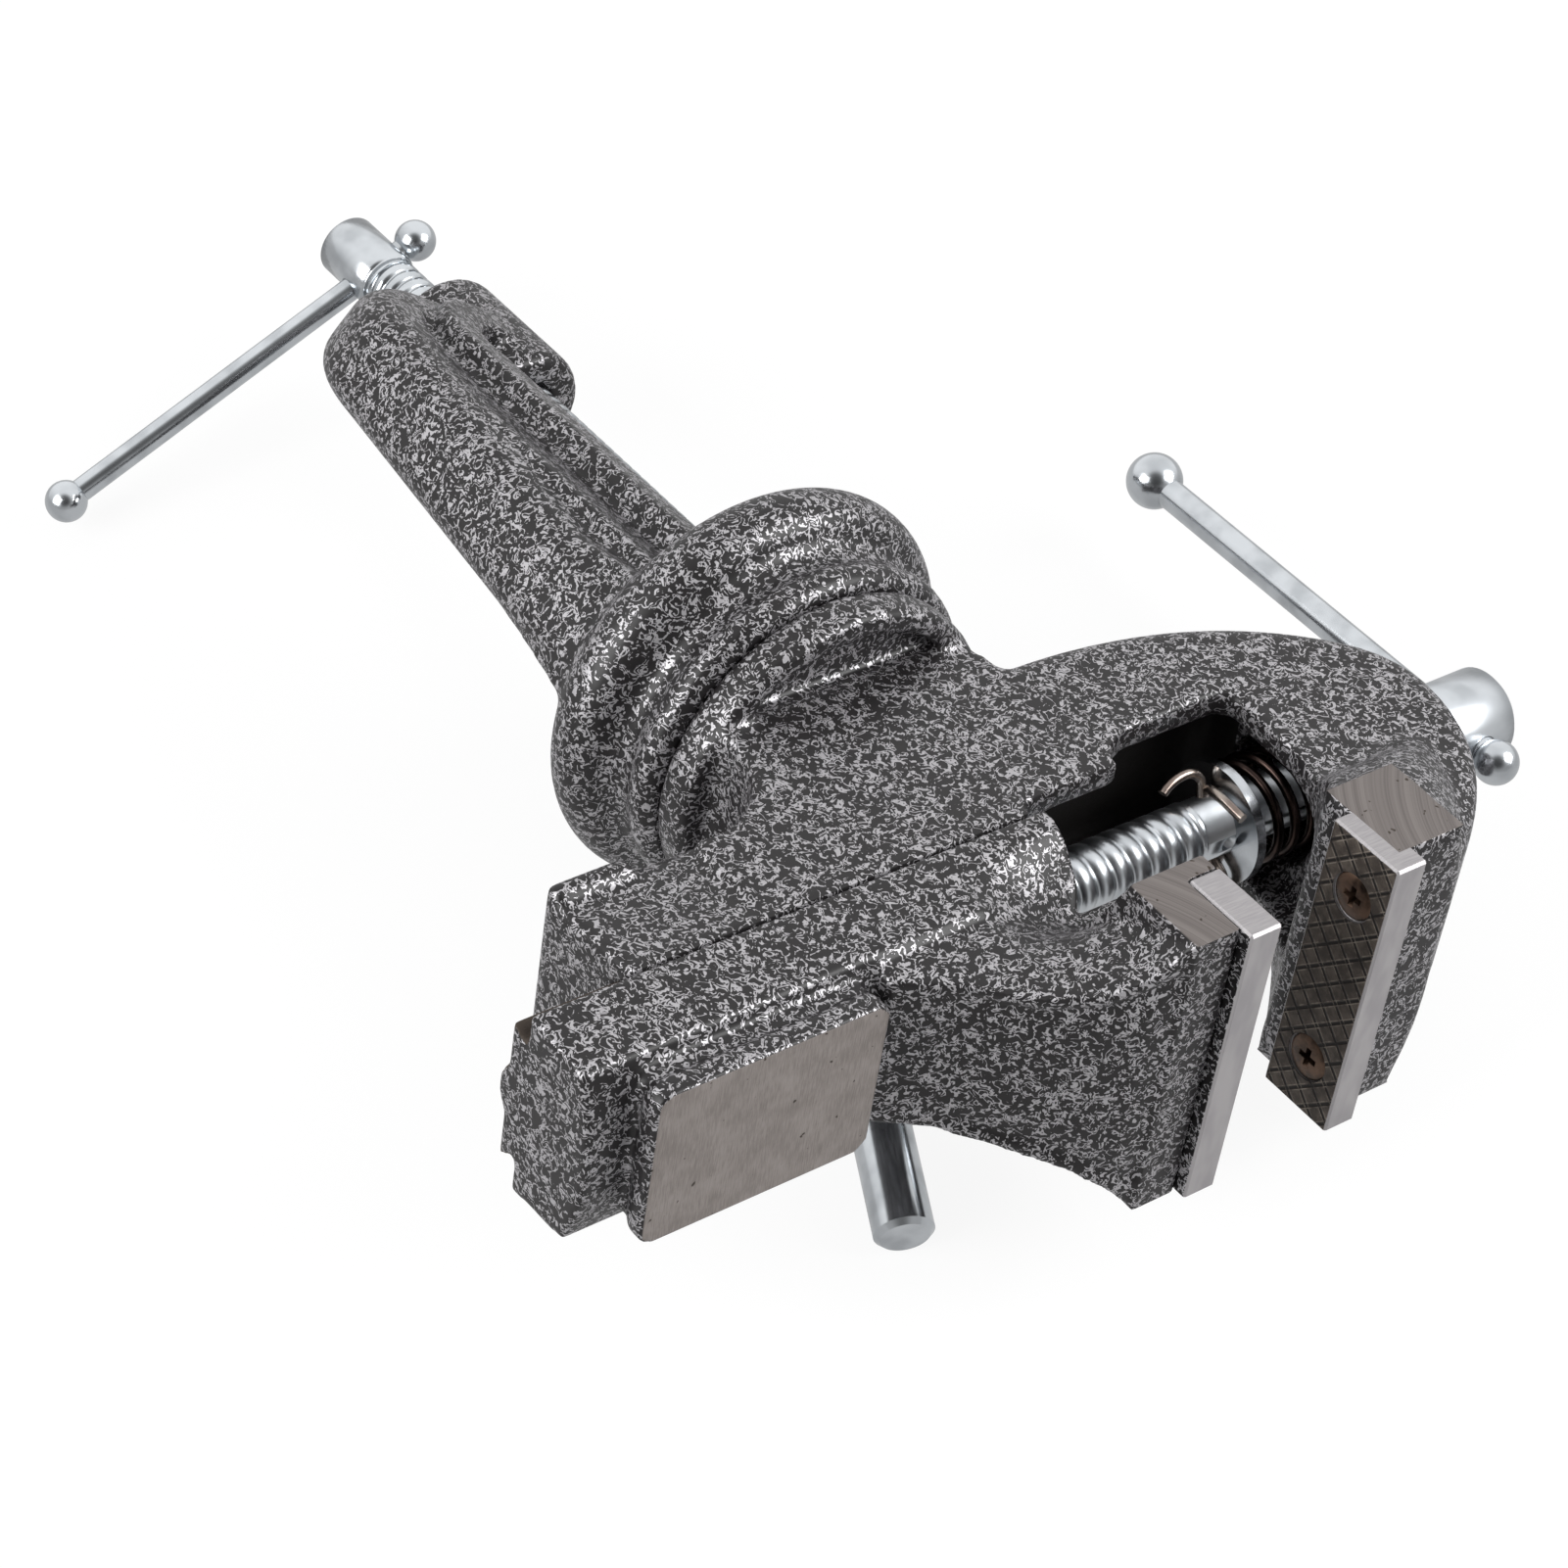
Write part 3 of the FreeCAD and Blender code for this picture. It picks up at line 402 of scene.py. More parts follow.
def enamel(name, ground_boxes=(), grain=None, iron=MILLED_IRON, bare_or_shade_boxes=(), bare_or_shade_tone=CAVITY_SHADE_BLACK):
    """Hammered enamel on cast iron, with some faces ground bare and some boxes in a tone of their own: bare
    brown iron, or near black painted as shade.
    """
    finish = Finish(name)
    veins = enamel_veins(finish)
    paint = finish.mix(veins, ENAMEL_DARK, ENAMEL_VEIN)
    metal = veins * 0.8
    rough = 0.40 + veins * 0.08
    height = veins
    if bare_or_shade_boxes:
        # Boxes in a dull tone of their own: the slider's bare brown flank, or the body's cored space
        # painted near black as shade.
        bare_or_shade = any_box(finish, bare_or_shade_boxes)
        paint = finish.mix(bare_or_shade, paint, bare_or_shade_tone)
        metal = laid_over(metal, bare_or_shade, 0.0)
        rough = laid_over(rough, bare_or_shade, 0.85)
    if ground_boxes:
        bare = any_box(finish, ground_boxes)
        marks = grain(finish)
        pits = finish.step(finish.noise(420.0, roughness=0.6), 0.69, 0.72)
        ground = finish.mix(finish.step(marks, 0.34, 0.66), *iron)
        paint = finish.mix(bare, paint, finish.mix(pits, ground, BARE_BROWN))
        metal = laid_over(metal, bare, 0.6)
        rough = laid_over(rough, bare, 0.36 + marks * 0.2)
        height = laid_over(veins, bare, marks * 0.25)
    finish.set("Base Color", paint)
    finish.set("Metallic", metal)
    finish.set("Roughness", rough)
    finish.bump(height, strength=0.55, distance=0.12 * MM)
    finish.set("Specular IOR Level", ENAMEL_SPECULAR)
    finish.set("Coat Roughness", ENAMEL_COAT_ROUGHNESS)
    finish.set("Coat Weight", ENAMEL_COAT)
    return finish.material


def zinc(name, fine_axis, roughness=BRIGHT_ZINC):
    """Zinc plate over turned steel, with marks that change fast along one axis."""
    finish = Finish(name, metallic=1.0)
    scale = [900.0 if axis == fine_axis else 60.0 for axis in "xyz"]
    marks = finish.grain(finish.stretched(*scale))
    clouds = finish.noise(150.0)
    finish.set("Base Color", finish.mix(finish.step(clouds, 0.35, 0.75), *ZINC))
    finish.set("Roughness", roughness + clouds * 0.16)
    finish.bump(marks * 0.7 + clouds * 0.3, strength=0.1, distance=0.05 * MM)
    return finish.material


def plate_steel():
    """Darkened plate, hatched where it grips with painted shade in the cuts and a painted highlight along
    them, ground on its edges and enamelled behind.
    """
    finish = Finish("hatched_plate", metallic=0.6)
    x, across, upward = finish.axes()
    cuts = []
    edge_highlights = []
    for slope in (1, -1):
        slanted = across * HATCH_ACROSS + upward * (HATCH_UPWARD * slope) + 1.0
        wave = finish.math("PINGPONG", slanted, HATCH_HALF_SPACING)
        cuts.append(finish.step(wave, 0.38 * MM, 0.14 * MM))
        # A painted highlight along both edges of each cut.
        edge_highlights.append(finish.step(wave, 0.34 * MM, 0.42 * MM) * finish.step(wave, 0.62 * MM, 0.46 * MM))
    cut = finish.most(cuts)
    edge_highlight = finish.most(edge_highlights)
    behind = finish.most([
        finish.step(x, REAR_PLATE_LOW.x + 0.12 * MM, REAR_PLATE_LOW.x + 0.06 * MM),
        finish.step(x, FRONT_PLATE_HIGH.x - 0.12 * MM, FRONT_PLATE_HIGH.x - 0.06 * MM),
    ])
    grip = box_mask(
        finish,
        (REAR_PLATE_HIGH.x - 0.1 * MM, -FAR, REAR_PLATE_LOW.z - 1 * MM),
        (FRONT_PLATE_LOW.x + 0.1 * MM, FAR, REAR_PLATE_HIGH.z + 1 * MM),
    )
    worn = finish.step(finish.noise(330.0, detail=4.0, roughness=0.7), 0.38, 0.66)
    # The cuts are painted dark as shade; their edges get a painted highlight where the random wear lets it
    # through.
    hatched = finish.mix(cut, finish.mix(worn, *PLATE_DARK), HATCH_SHADE)
    hatched = finish.mix(edge_highlight * worn, hatched, HATCH_HIGHLIGHT)
    lines = finish.grain(finish.stretched(260.0, 90.0, 3800.0))
    edge = finish.mix(finish.step(lines, 0.3, 0.7), *PLATE_EDGE)
    paint = finish.mix(enamel_veins(finish), ENAMEL_DARK, ENAMEL_VEIN)
    finish.set("Base Color", finish.mix(behind, finish.mix(grip, edge, hatched), paint))
    finish.set("Roughness", 0.40 + grip * 0.10 + lines * 0.10)
    finish.bump((1 - cut) * grip + lines * 0.08 * (1 - grip), strength=0.8, distance=0.3 * MM)
    return finish.material


def screw_steel():
    """Dark passivated screw with a coppery to golden cast."""
    finish = Finish("golden_screw", metallic=0.9)
    cast = finish.step(finish.noise(260.0, detail=3.0, roughness=0.6), 0.35, 0.65)
    finish.set("Base Color", finish.mix(cast, *SCREW_GOLDEN))
    finish.set("Roughness", 0.26 + cast * 0.2)
    return finish.material


def wire_steel(name, tones):
    """Oiled wire with a warm cast."""
    finish = Finish(name, metallic=1.0, roughness=0.26)
    cast = finish.step(finish.noise(200.0), 0.3, 0.7)
    finish.set("Base Color", finish.mix(cast, *tones))
    return finish.material


def plain_steel():
    """Oiled turned steel of the hidden pin."""
    finish = Finish("oiled_steel", metallic=1.0, roughness=0.38)
    rings = finish.grain(finish.stretched(60.0, 60.0, 2500.0))
    finish.set("Base Color", finish.mix(rings, *STEEL))
    finish.bump(rings, strength=0.1, distance=0.05 * MM)
    return finish.material


def turned_brass():
    """Plain turned brass of the lock's shoe."""
    finish = Finish("turned_brass", metallic=1.0, roughness=0.35)
    rings = finish.grain(finish.stretched(60.0, 2500.0, 60.0))
    finish.set("Base Color", finish.mix(rings, *BRASS))
    return finish.material


# ---- meshes and pieces --------------------------------------------------------

def add_object(name, data):
    """New object in the scene."""
    made = bpy.data.objects.new(name, data)
    bpy.context.scene.collection.objects.link(made)
    return made


def mesh_from(name, bm):
    """Mesh from a bmesh, which is freed."""
    mesh = bpy.data.meshes.new(name)
    bm.to_mesh(mesh)
    bm.free()
    return mesh


def final_shape(source):
    """What an object's modifiers or its curve come to, as a bmesh. The object is removed."""
    ready = source.evaluated_get(bpy.context.evaluated_depsgraph_get())
    bm = bmesh.new()
    bm.from_mesh(ready.to_mesh())
    bpy.data.objects.remove(source)
    return bm


def add_piece(name, bm, body, slot, material, *nodes):
    """Smooth-shaded piece from a bmesh, which rides on a body and replaces the nodes."""
    mesh = mesh_from(name, bm)
    for face in mesh.polygons:
        face.use_smooth = True
    mesh.set_sharp_from_angle(angle=SHARP_ANGLE)
    mesh.materials.append(material)
    piece = add_object(name, mesh)
    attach(piece, body)
    if nodes:
        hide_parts(*nodes)
    return piece


def merged_copy(node):
    """The node's faces joined up, as a bmesh."""
    bm = bmesh.new()
    bm.from_mesh(NODES[node].data)
    bmesh.ops.remove_doubles(bm, verts=bm.verts, dist=0.001 * MM)
    return bm


def add_chain(bm, points):
    """Open line of edges through the points."""
    verts = [bm.verts.new(point) for point in points]
    edges = [bm.edges.new(pair) for pair in zip(verts, verts[1:])]
    return verts + edges


def outward(bm):
    """Close the seams and turn all faces outwards."""
    bmesh.ops.remove_doubles(bm, verts=bm.verts, dist=0.002 * MM)
    bmesh.ops.recalc_face_normals(bm, faces=bm.faces)


def cut_off(bm, point, direction):
    """Remove what lies beyond a plane and close the cut."""
    geometry = bm.verts[:] + bm.edges[:] + bm.faces[:]
    cut = bmesh.ops.bisect_plane(
        bm, geom=geometry, dist=0.0001 * MM, plane_co=point, plane_no=direction, clear_outer=True
    )
    rim = [item for item in cut["geom_cut"] if isinstance(item, bmesh.types.BMEdge)]
    bmesh.ops.holes_fill(bm, edges=rim, sides=0)


def add_block(bm, low, high, corner=0.0):
    """Closed box between two corners, its upright edges rounded, for the even mesh to join up."""
    size = [b - a for a, b in zip(low, high)]
    middle = [(a + b) / 2 for a, b in zip(low, high)]
    place = Matrix.Translation(middle) @ Matrix.Diagonal((*size, 1))
    cube = bmesh.ops.create_cube(bm, size=1, matrix=place)
    if corner:
        upright = [
            edge for vert in cube["verts"] for edge in vert.link_edges
            if vert.co.z < middle[2] < edge.other_vert(vert).co.z
        ]
        bmesh.ops.bevel(
            bm, geom=upright, offset=corner, segments=5, affect="EDGES", profile=0.5, material=-1
        )


def drop_crumbs(bm):
    """Remove the specks that the even mesh leaves apart from the casting itself."""
    waiting = set(bm.verts)
    largest = set()
    while waiting:
        island = {waiting.pop()}
        reached = list(island)
        while reached:
            for edge in reached.pop().link_edges:
                for vert in edge.verts:
                    if vert in waiting:
                        waiting.discard(vert)
                        island.add(vert)
                        reached.append(vert)
        largest = max(largest, island, key=len)
    crumbs = [vert for vert in bm.verts if vert not in largest]
    bmesh.ops.delete(bm, geom=crumbs, context="VERTS")


# ---- castings -----------------------------------------------------------------

def rise(value, low, high):
    """Straight rise from 0 at the low value to 1 at the high one."""
    return max(0.0, min(1.0, (value - low) / (high - low)))


def smooth_rise(value, low, high):
    """The same rise, rounded off at both ends."""
    share = rise(value, low, high)
    return share * share * (3 - 2 * share)


def back_lip(x, y, z):
    """Depth in mm by which the fan's back lies inside its rim, for a place in mm."""
    back_z = FAN_CREST_Z - FAN_FALL * (x - FAN_CREST_X) ** 2
    if not FAN_BACK_X < x < FAN_FRONT_X or z < back_z - FAN_SKIN:
        return 0.0
    rim_y = min(RIM_WIDEST_Y, RIM_START_Y + RIM_SPREAD * max(0.0, x - RIM_START_X) ** 2)
    inside = rim_y - abs(y)
    edge_low, edge_high = LIP_EDGE
    hollow = smooth_rise(inside, edge_low, edge_high) * rise(inside, LIP_REACH, edge_high)
    return LIP_DEPTH * hollow * smooth_rise(x, FAN_BACK_X, RIM_START_X)


def jaw_waist(place):
    """Draw the moving jaw's neck in, its beam out, and keep its bore clear of the thread."""
    x, y, z = (value / MM for value in place)
    upward = smooth_rise(z, *NECK_LOW_Z) * (1 - smooth_rise(z, *NECK_HIGH_Z))
    width = 1 - NECK_DRAW * rise(x, *NECK_X) * upward
    longer = BEAM_EXTRA * smooth_rise(x, *BEAM_END_X) * (1 - smooth_rise(z, *BEAM_TOP_Z))
    sunk = back_lip(x, y, z) * LIP_SLANT * MM
    drawn = Vector((place.x + longer + sunk, place.y * width, place.z - sunk))
    out = Vector((0, drawn.y, drawn.z - SPINDLE_Z))
    if place.x > BORE_START_X and BORE_CORE_R < out.length < BORE_R:
        out = out.normalized() * BORE_R
        drawn = Vector((drawn.x, out.y, SPINDLE_Z + out.z))
    return drawn


def is_jaw_end(place):
    """On the ground outer end of a jaw."""
    return abs(place.y) > JAW_END_Y - SURFACE_SLACK and place.z > GROUND_EDGE_LOW_Z


def is_slider_ground(place):
    """On the anvil's top or the ground outer end of the moving jaw."""
    on_anvil = place.z > ANVIL_TOP - SURFACE_SLACK and place.x < ANVIL_FRONT_X
    return on_anvil or is_jaw_end(place)


def is_fan(place):
    """Upper part of the moving jaw, whose edges stay sharper than the rest."""
    return place.x > CRISP_BACK_X and place.z > CRISP_LOW_Z


def cast_skin(name, node, body, step, material, is_ground=None, blocks=(), shaped=None, crisp=None):
    """Casting with blocks added and its edges softened by an even mesh.

    Ground faces stay as they are, and crisp places are softened for one round only.
    """
    bm = merged_copy(node)
    for block in blocks:
        add_block(bm, *block)
    rough = add_object(name + "_rough", mesh_from(name + "_rough", bm))
    even = rough.modifiers.new("even", "REMESH")
    even.mode = "VOXEL"
    even.voxel_size = step
    bm = final_shape(rough)
    if shaped:
        for vert in bm.verts:
            vert.co = shaped(vert.co)
    soft = [vert for vert in bm.verts if not (is_ground and is_ground(vert.co))]
    for turn in range(SMOOTHING_ROUNDS):
        if crisp and turn == 1:
            soft = [vert for vert in soft if not crisp(vert.co)]
        bmesh.ops.smooth_vert(bm, verts=soft, factor=0.5, use_axis_x=True, use_axis_y=True, use_axis_z=True)
    drop_crumbs(bm)
    return add_piece(name, bm, body, "paint", material, node)


def end_boxes(low_x, high_x, low_z):
    """The two ground ends of a jaw, across Y, as boxes for a finish."""
    ground_y = JAW_END_Y - GROUND_SKIN
    near = ((low_x, ground_y, low_z), (high_x, FAR, FAR))
    far = ((low_x, -FAR, low_z), (high_x, -ground_y, FAR))
    return [near, far]


def wing_blocks(low_x, high_x, low_z, high_z):
    """Blocks at the two outer ends of a jaw."""
    spans = ((-JAW_END_Y, -JAW_END_Y + WING_WIDTH), (JAW_END_Y - WING_WIDTH, JAW_END_Y))
    return [((low_x, low_y, low_z), (high_x, high_y, high_z)) for low_y, high_y in spans]


def slider_skin():
    """The slider: painted jaw and beam, ground jaw ends, and the anvil with its ground top."""
    def jaw_grain(finish):
        return milled_arcs(finish, *REAR_MILL)

    ground_ends = end_boxes(REAR_GROUND_LOW_X, REAR_PLATE_HIGH.x + 1 * MM, REAR_GROUND_LOW_Z)
    jaw_paint = enamel("slider_enamel", ground_ends, jaw_grain)
    anvil_top = ((-FAR, -FAR, ANVIL_TOP - ANVIL_SKIN), (ANVIL_FRONT_X, FAR, ANVIL_TOP + 1 * MM))
    anvil_paint = enamel("anvil_enamel", [anvil_top], ground_grain, ANVIL_IRON, [BARE_FLANK], BARE_BROWN)
    pad_low = (ANVIL_X - PAD_HALF_X, -PAD_HALF_Y, ANVIL_TOP - PAD_THICKNESS)
    pad_high = (ANVIL_X + PAD_HALF_X - PAD_FRONT_TRIM, PAD_HALF_Y, ANVIL_TOP)
    blocks = [(pad_low, pad_high, PAD_CORNER)]
    blocks += wing_blocks(REAR_END_BACK_X, REAR_PLATE_LOW.x - 0.1 * MM, REAR_END_LOW_Z, REAR_END_HIGH_Z)
    piece = cast_skin(
        "slider_casting", "slider", "moving_jaw", FINE_CAST_STEP, jaw_paint,
        is_slider_ground, blocks, jaw_waist, is_fan,
    )
    piece.data.materials.append(anvil_paint)
    for face in piece.data.polygons:
        if face.center.x < ANVIL_FRONT_X:
            face.material_index = 1


def body_skin():
    """The vise's body: painted, with ground jaw ends and painted shade in its cored space."""
    def jaw_grain(finish):
        return milled_arcs(finish, *FRONT_MILL)

    ground_ends = end_boxes(FRONT_PLATE_LOW.x, FRONT_END_HIGH_X + 0.2 * MM, FRONT_END_LOW_Z)
    # The two boxes of the cored space get painted shade.
    paint = enamel("body_enamel", ground_ends, jaw_grain, bare_or_shade_boxes=[OPENING_SHADE, TUNNEL_SHADE])
    blocks = [BED_END]
    blocks += wing_blocks(FRONT_END_LOW_X, FRONT_END_HIGH_X, FRONT_END_LOW_Z, FRONT_END_HIGH_Z)
    cast_skin("body_casting", "vise_body", "vise", CAST_STEP, paint, is_jaw_end, blocks)


def clamp_skin():
    """The clamp's bracket, painted all over."""
    cast_skin("clamp_casting", "clamp_bracket", "base", CAST_STEP, enamel("clamp_enamel"))


# ---- threaded rods ------------------------------------------------------------

def thread_points(start, end, pitch, place):
    """Profile of a shallow rounded thread between two stations of its axis."""
    turn = ((0.0, 0.05), (0.30, 0.0), (0.60, 0.05), (0.68, 0.75), (0.76, 1.0), (0.86, 1.0), (0.94, 0.75))
    points = []
    for count in range(round((end - start) / pitch)):
        for share, deep in turn:
            points.append(place(start + pitch * (count + share), THREAD_R - THREAD_DEPTH * deep))
    points.append(place(start + pitch * (count + 1), THREAD_R - THREAD_DEPTH * turn[0][1]))
    return points


def thread(bm, start, end, pitch, place, axis):
    """Helical thread: the profile turned once while it moves on by one pitch."""
    geometry = add_chain(bm, thread_points(start, end, pitch, place))
    bmesh.ops.spin(
        bm, geom=geometry, cent=place(0, 0), axis=axis, dvec=axis * (pitch / THREAD_STEPS),
        angle=2 * math.pi, steps=THREAD_STEPS, use_merge=False,
    )
    bmesh.ops.remove_doubles(bm, verts=bm.verts, dist=0.01 * MM)


def threaded_rod(name, node, body, material, place, axis, span, pitch, plain_ends):
    """A node's rod with a thread over a span of its axis, and its plain ends from the node itself."""
    low, high = span
    bm = bmesh.new()
    thread(bm, low - 2 * pitch, high + 2 * pitch, pitch, place, axis)
    cut_off(bm, axis * high, axis)
    cut_off(bm, axis * low, -axis)
    outward(bm)
    for station, direction in plain_ends:
        end = merged_copy(node)
        cut_off(end, axis * station, direction)
        bm.from_mesh(mesh_from(name + "_end", end))
    add_piece(name, bm, body, "zinc_steel", material, node)


def along_spindle(x, radius):
    return Vector((x, 0, SPINDLE_Z + radius))


def along_clamp(z, radius):
    return Vector((CLAMP_X + radius, CLAMP_Y, z))


def threaded_spindle(material):
    axis = Vector((1, 0, 0))
    span = (SPINDLE_LOW.x, SPINDLE_THREAD_END)
    plain_ends = [(SPINDLE_THREAD_END - SPINDLE_OVERLAP, -axis)]
    threaded_rod(
        "threaded_spindle", "main_spindle", "spindle", material,
        along_spindle, axis, span, SPINDLE_PITCH, plain_ends,
    )


def threaded_clamp_screw(material):
    axis = Vector((0, 0, 1))
    span = (CLAMP_THREAD_LOW, CLAMP_THREAD_HIGH)
    plain_ends = [(CLAMP_THREAD_HIGH - CLAMP_OVERLAP, -axis), (CLAMP_THREAD_LOW + CLAMP_OVERLAP, axis)]
    threaded_rod(
        "threaded_clamp_screw", "clamp_screw", "clamp", material,
        along_clamp, axis, span, CLAMP_PITCH, plain_ends,
    )


# ---- spring and split pin -----------------------------------------------------

def coil_spring(material):
    """Round wire wound about the spindle."""
    axis = Vector((1, 0, 0))
    steps = int(SPRING_TURNS * SPRING_STEPS_PER_TURN)
    travel = SPRING_HIGH.x - SPRING_LOW.x - 2 * SPRING_WIRE_R
    coil_r = (SPRING_HIGH.z - SPRING_LOW.z) / 2 - SPRING_WIRE_R
    start = Matrix.Translation((SPRING_LOW.x + SPRING_WIRE_R, 0, SPINDLE_Z + coil_r))
    upright = start @ Matrix.Rotation(math.pi / 2, 4, "X")
    bm = bmesh.new()
    bmesh.ops.create_circle(
        bm, segments=SPRING_WIRE_SIDES, radius=SPRING_WIRE_R, cap_ends=False, matrix=upright
    )
    bmesh.ops.spin(
        bm, geom=bm.verts[:] + bm.edges[:], cent=(0, 0, SPINDLE_Z), axis=axis,
        dvec=axis * (travel / steps), angle=2 * math.pi * SPRING_TURNS, steps=steps, use_merge=False,
    )
    bmesh.ops.holes_fill(bm, edges=bm.edges, sides=0)
    outward(bm)
    add_piece("coil_spring", bm, "vise", "zinc_steel", material, "spindle_spring")


def bent_wire(name, points, radius, body, slot, material, *nodes):
    """Round wire along a smooth line, as a mesh."""
    curve = bpy.data.curves.new(name, "CURVE")
    curve.dimensions = "3D"
    curve.bevel_depth = radius
    curve.bevel_resolution = 4
    curve.use_fill_caps = True
    line = curve.splines.new("NURBS")
    line.points.add(len(points) - 1)
    for spot, point in zip(line.points, points):
        spot.co = (*point, 1)
    line.order_u = 4
    line.resolution_u = 10
    line.use_endpoint_u = True
    bm = final_shape(add_object(name + "_line", curve))
    outward(bm)
    add_piece(name, bm, body, slot, material, *nodes)


def around_spindle(along, across, out):
    """Point by the split pin, in mm along the spindle, across the pin and out from the axis."""
    offset = Vector((along, 0, 0)) + COTTER_SIDE * across + COTTER_OUT * out
    return Vector((COTTER_X, 0, SPINDLE_Z)) + offset * MM


def split_pin(material):
    """Two wires side by side: an eye on one side of the spindle, the bent legs on the other."""
    eye = (
        (0, 0.05, -12), (0, 2.2, -11.9), (0, 3.2, -9.7), (0, 2.0, -7.6), (0, 0.62, -6.2), (0, 0.62, -4),
    )
    hook = (
        (-0.4, 0, 7.0), (0.1, 0, 9.0), (-1.8, 0, 10.8), (-4.6, 0, 10.9), (-7.4, 0, 10.2), (-9.0, 0, 9.0),
    )
    folded = ((0.3, 0.3, 6.8), (-0.1, 2.2, 7.4), (-0.3, 4.8, 6.6), (-0.3, 7.6, 5.0), (-0.2, 10.2, 3.4))
    wires = (
        (-1, "split_pin_left", hook, ("split_pin",)),
        (1, "split_pin_right", folded, ()),
    )
    for side, name, leg, nodes in wires:
        half_eye = [(along, across * side, out) for along, across, out in eye]
        shank = ((0.6 * side, 0, 0), (0.6 * side, 0, 5))
        points = [around_spindle(*spot) for spot in (*half_eye, *shank, *leg)]
        bent_wire(name, points, COTTER_WIRE_R, "spindle", "zinc_steel", material, *nodes)


# ---- jaw plate screws ---------------------------------------------------------

def recess_cutter(face_x, y, z, inward):
    """Cross of two tapered arms, as an object for cutting."""
    bm = bmesh.new()
    for wide, tall in ((RECESS_ARM, RECESS_REACH), (RECESS_REACH, RECESS_ARM)):
        arm = bmesh.ops.create_cube(bm, size=2)
        for vert in arm["verts"]:
            is_deep = vert.co.x * inward > 0
            taper = RECESS_TAPER if is_deep else 1.0
            depth = RECESS_DEPTH if is_deep else -RECESS_ABOVE
            half_y = max(wide * taper, RECESS_LEAST)
            half_z = max(tall * taper, RECESS_LEAST)
            vert.co = (face_x + inward * depth, y + vert.co.y * half_y, z + vert.co.z * half_z)
    return add_object("cross", mesh_from("cross", bm))


def screw_head_profile(face_x, inward):
    """Countersunk head with a slightly crowned face, in distance along X and radius."""
    crown = [(-0.12, 0.0), (-0.14, 2.0), (-0.22, 3.8), (-0.45, 4.3)]
    cone_and_shank = [(-0.8, 4.4), (-2.6, 2.5), (-14.9, 2.5), (-14.9, 0.0)]
    return [(face_x - inward * out * MM, radius * MM) for out, radius in crown + cone_and_shank]


def cross_screws(name, node, plate_face, inward, body, material):
    """Both screws of one plate, each with a cross recess."""
    low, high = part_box(node)
    middle_z = (low.z + high.z) / 2
    bm = bmesh.new()
    cutters = []
    for y in (low.y + SCREW_HEAD_R, high.y - SCREW_HEAD_R):
        points = [Vector((x, y, middle_z + radius)) for x, radius in screw_head_profile(plate_face, inward)]
        bmesh.ops.spin(
            bm, geom=add_chain(bm, points), cent=(0, y, middle_z), axis=(1, 0, 0),
            angle=2 * math.pi, steps=SCREW_HEAD_STEPS, use_merge=True,
        )
        cutters.append(recess_cutter(plate_face, y, middle_z, inward))
    outward(bm)
    blank = add_object(name + "_blank", mesh_from(name + "_blank", bm))
    for cutter in cutters:
        cut = blank.modifiers.new("recess", "BOOLEAN")
        cut.operation = "DIFFERENCE"
        cut.object = cutter
        cut.use_self = True
    bm = final_shape(blank)
    for cutter in cutters:
        bpy.data.objects.remove(cutter)
    add_piece(name, bm, body, "screw_steel", material, node)


# ---- nodes that keep their shape ----------------------------------------------

def dress(material, *names):
    """Give CAD nodes their finish."""
    for name in names:
        NODES[name].data.materials.clear()
        NODES[name].data.materials.append(material)


# ---- camera, floor and light --------------------------------------------------

CAMERA_PLACE = Vector((-0.40006, 0.47200, 0.45795))
CAMERA_RIGHT = Vector((0.7963, 0.1246, 0.5919))
CAMERA_UP = Vector((0.3038, 0.7638, -0.5695))
CAMERA_BACK = Vector((-0.5231, 0.6333, 0.5703))
CAMERA_LENS = 97.67
CAMERA_SENSOR = 36.0

# The floor is a white table top. The vise lies on it on its side.
FLOOR_NORMAL = Vector((-0.210, 0.976, 0.065)).normalized()
FLOOR_DEPTH = 43.2 * MM
FLOOR_HALF = 3.0
FLOOR_WHITE = (0.9, 0.9, 0.9, 1)
FLOOR_ROUGHNESS = 0.9
FLOOR_GLOW = 0.9
FLOOR_GLOSS = 0.62

ROOM_LIGHT = 0.56


def add_camera():
    data = bpy.data.cameras.new("view")
    data.lens = CAMERA_LENS
    data.sensor_width = CAMERA_SENSOR
    data.clip_start = 0.01
    data.clip_end = 20.0
    camera = add_object("view", data)
    turn = Matrix((CAMERA_RIGHT, CAMERA_UP, CAMERA_BACK)).transposed()
    camera.matrix_world = Matrix.Translation(CAMERA_PLACE) @ turn.to_4x4()
    bpy.context.scene.camera = camera


def table_white():
    """White that glows to the camera, mirrors as pale grey and is clear from behind."""
    finish = Finish("white_table", roughness=FLOOR_ROUGHNESS)
    finish.set("Base Color", FLOOR_WHITE)
    glow = finish.node("ShaderNodeEmission", None, {"Color": WHITE})
    grey = finish.node("ShaderNodeEmission", None, {"Strength": FLOOR_GLOSS})
    clear = finish.node("ShaderNodeBsdfTransparent")
    seen = finish.node("ShaderNodeLightPath", output="Is Camera Ray")
    mirrored = finish.node("ShaderNodeLightPath", output="Is Glossy Ray")
    behind = finish.node("ShaderNodeNewGeometry", output="Backfacing")
    lit = finish.blend(seen * FLOOR_GLOW, Value(finish, finish.shader.outputs[0]), glow)
    front = finish.blend(mirrored, lit, grey)
    finish.feed(finish.tree.nodes["Material Output"].inputs["Surface"], finish.blend(behind, front, clear))
    return finish.material


